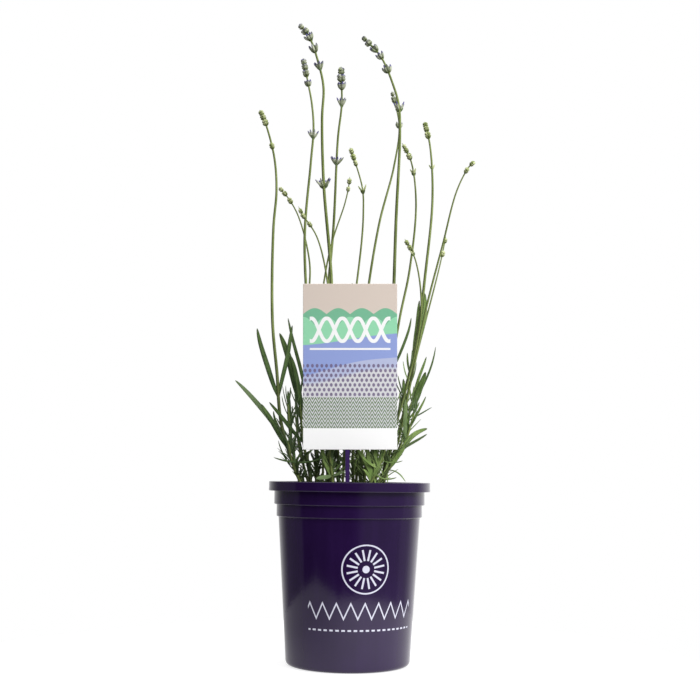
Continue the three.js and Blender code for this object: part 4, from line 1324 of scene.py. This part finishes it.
# %% Two bracts under each whorl
def bract_tubes(stem, draw):
    """Two small bracts under each whorl, as short wide leaves that hug the buds."""
    bracts = []
    for height, width, _ in stem["whorls"]:
        centre, axis, side, other = whorl_frame(stem, height)
        half = min(4.2, 0.42 * width)
        turn = draw.uniform(0, math.pi)
        for i in range(2):
            a = turn + math.pi * i
            heading = side * math.cos(a) + other * math.sin(a)
            root = centre - axis * (0.85 * half + 0.5)
            tip = centre + heading * 0.27 * width - axis * 0.1 * half
            control = centre + heading * 0.18 * width - axis * half * 0.75
            bracts.append(dict(root=root, control=control, tip=tip, width=1.0 + 0.07 * width,
                               look=axis - 0.3 * heading))
    return blade_tubes(bracts, draw, roll=-0.5)


print("bracts of the first stalk:", len(bract_tubes(stalks[0], np.random.default_rng(0))[0]))

# %% [markdown]
# ## The finishes of the plant
# Young stems are yellow-green and older ones duller. The side of each stem that faces left, away
# from the key light, is darkened with painted shade. Leaves are deep green on top with a paler
# line along the midrib and a dark tip, and a felt of fine hairs turns their under faces grey.
# Leaves at the right are painted lighter and fresher, a painted light for the key light there.
# Low at the foot the young leaves are fresh green, and painted light lightens them further to
# lift the shade of the label. A calyx is grey green, ribbed, and violet towards its mouth. The
# first mark that a mesh stores has a whole number, which picks one chance colour for the whole
# leaf or bud, and a part, which says how far along.

# %% What the marks mean
def plant_marks(finish):
    """How far along, the piece's own chance from 0 to 1, and the two other marks."""
    first, second, third = finish.mark("mark")
    along = first.part()
    return along, (first - along) / CHANCES, second, third

# %% The skin of the stems
def stem_finish():
    finish = Finish("stem_skin")
    along, chance, furrow, to_right = plant_marks(finish)
    patch = finish.noise(60, 3).rise(0.3, 0.7)
    streak = finish.noise(240, 4, 0.6, stretch=(1, 1, 0.12))
    young = finish.mix(patch, colour(112, 128, 64), colour(138, 152, 90))
    old = finish.mix(patch, colour(72, 84, 42), colour(98, 109, 60))
    # Painted shade: the side of the stem that faces left, away from the key light, is darkened,
    # less so near the top.
    painted_shade_left = 1 - to_right.rise(-0.7, 0.5)
    skin = finish.layers(
        finish.mix((along + chance * 0.3).rise(0.3, 0.75), old, young),
        ((1 - along.rise(0.02, 0.07)) * 0.4, colour(92, 84, 50)),
        (streak.rise(0.5, 0.75) * 0.3, colour(150, 164, 106)),
        ((1 - furrow.rise(0, 0.6)) * 0.2, colour(60, 76, 38)),
        # painted shade on the left side of the stem
        (painted_shade_left * (0.7 - 0.35 * along.rise(0.7, 1)), colour(44, 54, 26)),
    )
    relief = streak * 0.7 + finish.noise(1500, 2) * 0.3
    return finish.finished(skin, 0.55 + 0.2 * streak, relief, 0.00025, 0.6)

# %% The felt of the leaves
def leaf_finish():
    finish = Finish("leaf_felt", Sheen_Weight=0.06, Sheen_Roughness=0.5, Specular_IOR_Level=0.35)
    along, chance, across, under = plant_marks(finish)
    x, _, z = finish.axes(finish.place())
    patch, felt = finish.noise(85, 4, 0.6), finish.noise(2600, 3, 0.7)
    clouds = patch.rise(0.35, 0.65)
    deep = finish.mix(clouds, colour(54, 78, 39), colour(79, 105, 58))
    fresh = finish.mix(clouds, colour(110, 138, 70), colour(142, 166, 98))
    low = 1 - z.rise(0.165, 0.195)
    # Painted light: leaves towards the right are made lighter and fresher, standing in for the key
    # light from the right.
    at_right = x.rise(-0.02, 0.05) * 0.58
    # Low leaves are young and fresh, and are also lightened with painted light that lifts the
    # label's shade there, more of it at the right.
    foot_youth_and_painted_light = low * (0.15 + 0.3 * x.rise(-0.04, 0.01))
    # Each leaf's chance colour, plus the painted light at the right and at the foot.
    freshness_and_painted_light = (chance + at_right + foot_youth_and_painted_light).rise(0.45, 1.2)
    rib = 1 - across.size().rise(0.03, 0.2)
    grey = finish.mix(patch, colour(86, 106, 70), colour(112, 130, 94))
    skin = finish.layers(
        finish.mix(freshness_and_painted_light, deep, fresh),
        (along.rise(0.4, 1) * 0.2, colour(110, 134, 66)),
        (rib * 0.4, colour(122, 148, 80)),
        (along.rise(0.86, 0.97) * 0.6, colour(56, 62, 46)),
        (under * 0.8, grey),
        (felt.rise(0.5, 0.8) * 0.16, colour(160, 176, 140)),
    )
    veins = ((across.size() * 9 + along * 60) * 2.2).wave() * (1 - rib)
    relief = felt * 0.5 + veins * 0.12 + patch * 0.6
    return finish.finished(skin, 0.5 + 0.25 * felt + 0.1 * under, relief, 0.00022, 0.6)

# %% The felt of the buds
def bud_finish():
    finish = Finish("bud_felt", Sheen_Weight=0.12, Sheen_Roughness=0.45)
    along, chance, rib, violet = plant_marks(finish)
    felt = finish.noise(3000, 3, 0.7)
    olive = finish.mix(chance, colour(66, 80, 30), colour(108, 120, 56))
    cup = finish.mix(chance, colour(132, 142, 108), colour(200, 204, 182))
    plain = finish.mix(chance, colour(134, 150, 82), colour(212, 218, 168))
    petal = finish.mix(chance, colour(54, 48, 84), colour(98, 94, 156))
    tinged = violet.rise(0.02, 0.06)
    dusk = along.rise(0.5, 0.85) * violet.rise(0.15, 0.7)
    mouth = along.rise(0.72, 0.8) * (0.35 + 0.65 * violet.rise(0.1, 0.5)) * tinged
    skin = finish.layers(
        finish.mix(along.rise(0.1, 0.55), olive, finish.mix(tinged, plain, cup)),
        (dusk * (0.35 + 0.35 * rib), colour(84, 80, 106)),
        (mouth, petal),
        (felt.rise(0.5, 0.8) * 0.22, colour(196, 200, 184)),
    )
    return finish.finished(skin, 0.6 + 0.25 * felt, felt * 0.6 + rib * 0.4, 0.0002, 0.6)


plant_finishes = [stem_finish(), leaf_finish(), bud_finish()]
print("finishes of the plant:", [finish.name for finish in plant_finishes])

# %% [markdown]
# ## Leaves placed one by one
# The plan's own set leaves only had to be near enough for the CAD model. Here the same
# leaves, and the thin ones beside them, are placed again, each one from where its root, middle
# and tip are in the photograph. A row is [height of root, tip's across, depth and height, width,
# bow, shade]. The shade runs from 0, deep green, to 15, fresh green, and -1 turns the leaf over,
# so that it shows its grey under face.

# %% The leaves placed one by one
HAND_LEAVES = {
    "lavender_stalk_01": [
        [227, -82.5, -6, 286.7, 4.8, -1.7, 2], [227, -52.5, 9, 291.6, 4.2, -0.4, 2],
        [180, -98.8, -26, 239.2, 5.0, 4.2, -1], [183.5, -75.3, -36, 218.6, 5.4, 0, 6],
        [196.5, -66.9, -4, 214.6, 2.2, -2.2, 3], [161, -61.8, -12, 189, 1.4, -2.8, 1],
        [189, -41.3, -2, 189.5, 1.3, -0.5, 1], [183.5, -41.2, -3, 183.2, 1.5, 0.7, 1]],
    "lavender_stalk_02": [[211, -57.1, 20, 299.6, 3.4, 0.2, 3]],
    "lavender_stalk_04": [[174.5, -64.9, -24, 174.2, 2.4, -4.2, 6]],
    "lavender_stalk_08": [[309.5, 0, -30, 323.7, 2.4, 0, 4]],
    "lavender_stalk_11": [[249, 51.8, -14, 296.5, 2.6, -2.5, 0]],
    "lavender_stalk_12": [
        [164.5, 46, -50, 155, 1.6, 3.4, 2], [177.5, 64.9, -30, 195.2, 2.6, -1, -1],
        [166, 31.5, -40, 153.5, 1.5, 1, 2]],
    "lavender_stalk_13": [
        [265.5, 60.9, 20, 316.9, 3.6, 0.1, 6], [267.5, 65, 9, 321.7, 4.8, -3.2, 6]],
    "lavender_stalk_15": [[204.5, 59.6, -8, 223.8, 2.0, -2.2, 12]],
    "lavender_shoot_01": [[190, -55.1, 4, 233.1, 4.2, 0.3, 1], [200, -49, 6, 214.9, 2.2, -0.5, 1]],
    "lavender_shoot_02": [[159, -44.7, -30, 174.8, 2.6, -0.8, 4]],
    "lavender_shoot_03": [
        [221, -63.8, 10, 284.6, 6.2, 1.6, 3], [215.5, -53.1, 6, 263.8, 5.2, 2.3, 3],
        [187.5, -70.3, -12, 221.8, 3.8, -0.2, 1]],
    "lavender_shoot_09": [
        [159.5, -28.1, -42, 156.8, 3.8, -0.4, -1], [159.5, -3.8, -40, 162.9, 3.4, -0.4, -1],
        [157.5, -24.5, -34, 184, 4.6, -0.8, 13], [164, -16.1, -33, 184.1, 4.0, 0, 10]],
    "lavender_shoot_11": [
        [186, 46.7, -20, 225.3, 3.6, -0.7, -1], [185.5, 51.1, -14, 212.8, 2.6, 0.7, 0],
        [180, 65.5, -24, 200.1, 5.0, 3.8, 11], [166.5, 46.4, -27, 185, 4.4, 0, 12]],
    "lavender_shoot_12": [
        [166, 9.7, -40, 175.5, 2.8, -0.8, 14], [172.5, 44, -40, 172.4, 1.3, -1.8, 1],
        [161, 38.8, -44, 158.4, 1.6, -2.6, 2], [159.5, 21.8, -33, 184.5, 4.6, -0.3, 13],
        [157, 5.5, -35, 183, 4.2, 1, 12], [157, 15, -34, 184, 4.2, -1, 14],
        [161, 28.5, -34, 180, 4.4, 1, 12], [155, 26, -36, 169, 3.6, 1, 9],
        [154, 11, -39, 165, 3.2, 1.5, 8]],
    "lavender_shoot_13": [
        [216, 74.8, 8, 273.8, 1.9, -3.1, 0], [216, 65.6, 4, 250.9, 6.2, -0.8, 3],
        [225.5, 67, 14, 265.4, 2.8, 0.2, 5], [208.5, 46.1, 2, 244.5, 4.0, -1.6, 3],
        [193, 65.7, -2, 229, 2.4, -1.0, 12], [207, 71.7, 10, 220.2, 1.3, 0.3, 0]],
}
HAND_BREADTH = 1.12                 # a thin leaf loses its edges to the bright background
TURNED_SHADE = 10                   # shade of a leaf that shows its under face
print("leaves placed by hand:", sum(len(rows) for rows in HAND_LEAVES.values()))


def hand_leaves(stem, name):
    """The leaves of the table, from the stem's smooth line."""
    leaves = []
    for height, x, y, z, width, bow, shade in HAND_LEAVES.get(name, []):
        look = TOWARDS_VIEWER * (-1 if shade < 0 else 1)
        tip = np.array([x, y, z])
        leaf = plan_leaf(place_at(stem["fine"], height), tip, HAND_BREADTH * width, bow, look)
        leaves.append(dict(leaf, shade=TURNED_SHADE if shade < 0 else shade))
    return leaves

# %% The leaves that the rule grew
TIP_SHARE = 0.99                    # a grown leaf ends just short of its planned tip
SIDE_FROM = 36                      # grown leaves whose tips lie this far out are the narrowest
SIDE_BREADTH, MIDDLE_BREADTH = 0.6, 0.8


def grown_leaves(stem):
    """The leaves that the rule grew, with their roots moved onto the stem's smooth line.

    They are narrower than in the plan, and most of all at the two sides of the plant.
    """
    return [dict(leaf, root=place_at(stem["fine"], leaf["root"][2]),
                 tip=leaf["root"] + TIP_SHARE * (leaf["tip"] - leaf["root"]),
                 width=leaf["width"] * (SIDE_BREADTH if abs(leaf["tip"][0]) > SIDE_FROM
                                        else MIDDLE_BREADTH))
            for leaf in stem["leaves"] if leaf["look"] is not TOWARDS_VIEWER]


print("grown leaves:", sum(len(grown_leaves(stem)) for stem in stalks + shoots))

# %% Small leaves
LOW_LEAVES = 7
CROWD_RADIUS, CROWD_RIGHT = 38, 25  # roots nearer the middle, and less far right, are crowded
AXILS_BELOW = 246                   # height up to which axils may hold a small leaf


def small_leaf(stem, height, heading, rise, length, width, bow):
    """A small leaf from the stem's smooth line, at a heading and a rise in radians."""
    root = place_at(stem["fine"], height)
    outward = np.array([math.cos(heading), math.sin(heading), 0])
    tip = root + length * (outward * math.cos(rise) + UP * math.sin(rise))
    return plan_leaf(root, tip, width, bow * length, UP - 0.5 * outward)


def small_leaves(stem, draw):
    """Small leaves in some axils of the large ones, and more low on the stem.

    An axil holds one short leaf or none, and it stands more upright than the large one. The foot
    of a stem in the middle of the pot is crowded with short upright leaves. Nearer the wall, and
    at the right, where the stems lean out, there is one.
    """
    found = []
    foot = stem["line"][0]
    is_crowded = math.hypot(foot[0], foot[1]) < CROWD_RADIUS and foot[0] < CROWD_RIGHT
    often = 0.4 if is_crowded else 0.1
    for leaf in grown_leaves(stem):
        height = leaf["root"][2]
        if height < AXILS_BELOW and draw.random() < often:
            out = leaf["tip"] - leaf["root"]
            heading = math.atan2(out[1], out[0]) + draw.normal(0, 0.7)
            found.append(small_leaf(stem, height + draw.uniform(0, 2), heading,
                                    draw.uniform(0.8, 1.3), draw.uniform(7, 17),
                                    draw.uniform(1.2, 2.0), draw.uniform(-0.12, 0.05)))
    for height in draw.uniform(144, 166, LOW_LEAVES if is_crowded else 1):
        leaf = small_leaf(stem, height, draw.uniform(0, FULL_TURN), draw.uniform(0.6, 1.4),
                          draw.uniform(10, 22), draw.uniform(1.8, 3.4), draw.uniform(0, 0.2))
        # Painted light: low leaves of stems rooted right of the middle get lighter, fresher
        # shades, standing in for the key light from the right.
        brighter = 4 if foot[0] > 0 else 0
        found.append(dict(leaf, shade=int(draw.integers(brighter, brighter + 10))))
    return [leaf for leaf in found if in_open_air(*leaf_balls(leaf))]

# %% Grow the stalks and the shoots
def grow(stem, name, slot, node, tipped=0.0):
    """The whole stem with its leaves and buds, as one object."""
    draw = np.random.default_rng(100 + stem["index"])
    leaves = grown_leaves(stem) + hand_leaves(stem, name) + small_leaves(stem, draw)
    piece = Piece().add(*stem_tube(stem, int(draw.integers(0, CHANCES))))
    piece.add(*blade_tubes(leaves, draw), finish=1)
    if stem["whorls"]:
        piece.add(*bud_tubes(stem, draw, tipped), finish=2)
        piece.add(*bract_tubes(stem, draw), finish=1)
    return piece.build(name, plant_finishes, slot, [node])


for number, (stem, stalk) in enumerate(zip(stalks, STALKS), 1):
    node, tipped = f"flower_stalk_{number:02d}", stalk.get("tipped", 0.0)
    grow(stem, f"lavender_stalk_{number:02d}", "stalk", node, tipped)
for number, stem in enumerate(shoots, 1):
    grow(stem, f"lavender_shoot_{number:02d}", "leaf", f"leafy_shoot_{number:02d}")

# %% [markdown]
# ## Floor and light
# The object stands on a pale table top in a plain bright studio. To the camera the room is pure
# white, so the table's edge can't be seen. Its one corner, in front at the left, shows in the
# pot's mirror image as a pale hump. As light, the room is brightest overhead and behind, dim at
# the sides and dark in front, because a glossy dark pot shows mostly what it mirrors: its edges
# mirror the bright room behind it, its foot mirrors the table, and its middle mirrors the dark
# side where the camera stands. To all rays but the camera's, the table glows with a painted light
# that is dim at the left and bright at the right, so the pot's foot mirrors it brighter at the
# right. The Light Path node tells the camera's own rays from mirrored ones. Two wide softboxes
# light the plant from in front. They are kept out of mirrored rays, as a photographer turns a
# lamp until the pot doesn't show it.

# %% The floor
TABLE_RADIUS = 0.31                 # metres
TABLE_CORNER = math.radians(-54)    # heading of its corner, 0 in front and to the right from there
TABLE_CORNER_REACH = 0.105          # how far the corner stands out of the circle
TABLE_FRONT_SIDE = math.radians(38)
TABLE_LEFT_SIDE = math.radians(74)
TABLE_POINTS = 256
UNDER_POT = 0.0003                  # the table top is lower than the pot by a hair
DIM_GLOW, BRIGHT_GLOW, CAMERA_GLOW = (0.13,) * 3, (0.8,) * 3, (0.72,) * 3


def floor_finish():
    finish = Finish("studio_floor", Roughness=0.9, Emission_Strength=1.0)
    tooth = finish.noise(120, 3)
    finish.feed("Base Color", finish.mix(tooth, colour(160, 160, 160), colour(166, 166, 166)))
    x, _, _ = finish.axes(finish.place())
    to_camera = finish.node("ShaderNodeLightPath", {}, output="Is Camera Ray")
    # Painted light: to mirrored and bounced rays the floor glows dim at the left and bright at the
    # right.
    painted_glow = finish.mix(x.rise(-0.22, 0.1), DIM_GLOW, BRIGHT_GLOW)
    finish.feed("Emission Color", finish.mix(to_camera, painted_glow, CAMERA_GLOW))
    return finish.material


def table_outline():
    """The table's edge: a circle with a corner pulled out of it.

    The corner's reach falls off in a straight line on both sides, quickly along the front and
    slowly along the left.
    """
    heading = np.linspace(-math.pi, math.pi, TABLE_POINTS, endpoint=False)
    past = heading - TABLE_CORNER
    side = np.where(past > 0, TABLE_FRONT_SIDE, TABLE_LEFT_SIDE)
    reach = TABLE_RADIUS + TABLE_CORNER_REACH * np.clip(1 - np.abs(past) / side, 0, 1)
    level = 0 * heading - UNDER_POT
    return np.stack([reach * np.sin(heading), -reach * np.cos(heading), level], axis=-1)


edge = table_outline()
table = bpy.data.meshes.new("studio_floor")
table.from_pydata(edge.tolist(), [], [list(range(len(edge)))])
table.materials.append(floor_finish())
floor = bpy.data.objects.new("studio_floor", table)
scene.collection.objects.link(floor)
print("points on the table's edge:", len(edge))

# %% The room's light
ROOM_LIGHT = 1.15


class Sky(Finish):
    """The world around the object, which takes the same nodes as a material."""

    def __init__(self, name):
        self.world = bpy.data.worlds.new(name)
        self.world.use_nodes = True
        self.tree = self.world.node_tree
        self.shader = self.tree.nodes["Background"]


sky = Sky("bright_room")
direction = sky.node("ShaderNodeTexCoord", {}, output="Generated")
x, y, z = sky.axes(direction)
# x points right, y back and z up. Each rise says between which directions the light comes up.
overhead = z.rise(0.2, 0.7)
at_left = (x * -1).rise(-0.05, 0.05)
at_right = x.rise(-0.05, 0.05)
left = at_left * (y.rise(-0.17, -0.11) * 0.13 + y.rise(0.5, 1.0) * 0.5)
right = at_right * (y.rise(-0.06, 0.06) * 0.28 + y.rise(0.3, 0.9) * 0.75)
dim = x.rise(0.1, 0.5) * 0.2
lit = overhead.most(left + right).most(dim) + 0.01
to_camera = sky.node("ShaderNodeLightPath", {}, output="Is Camera Ray")
room = sky.mix(lit, (0.0,) * 3, (ROOM_LIGHT,) * 3)
sky.feed("Color", sky.mix(to_camera, room, (1.0,) * 3))
scene.world = sky.world

# %% The softboxes
AIM = Vector((0, 0, 0.25))          # the middle of the plant
BOX_SIZE = 1.1


def softbox(name, place, power):
    """A square area light that faces the middle of the plant."""
    light = bpy.data.lights.new(name, "AREA")
    light.size, light.energy = BOX_SIZE, power
    lamp = bpy.data.objects.new(name, light)
    lamp.location = place
    to_plant = AIM - Vector(place)
    lamp.rotation_euler = to_plant.to_track_quat("-Z", "Y").to_euler()
    lamp.visible_glossy = False
    scene.collection.objects.link(lamp)


softbox("key_light", (1.3, -1.0, 1.35), power=33)
softbox("fill_light", (0.15, -1.7, 0.75), power=9)
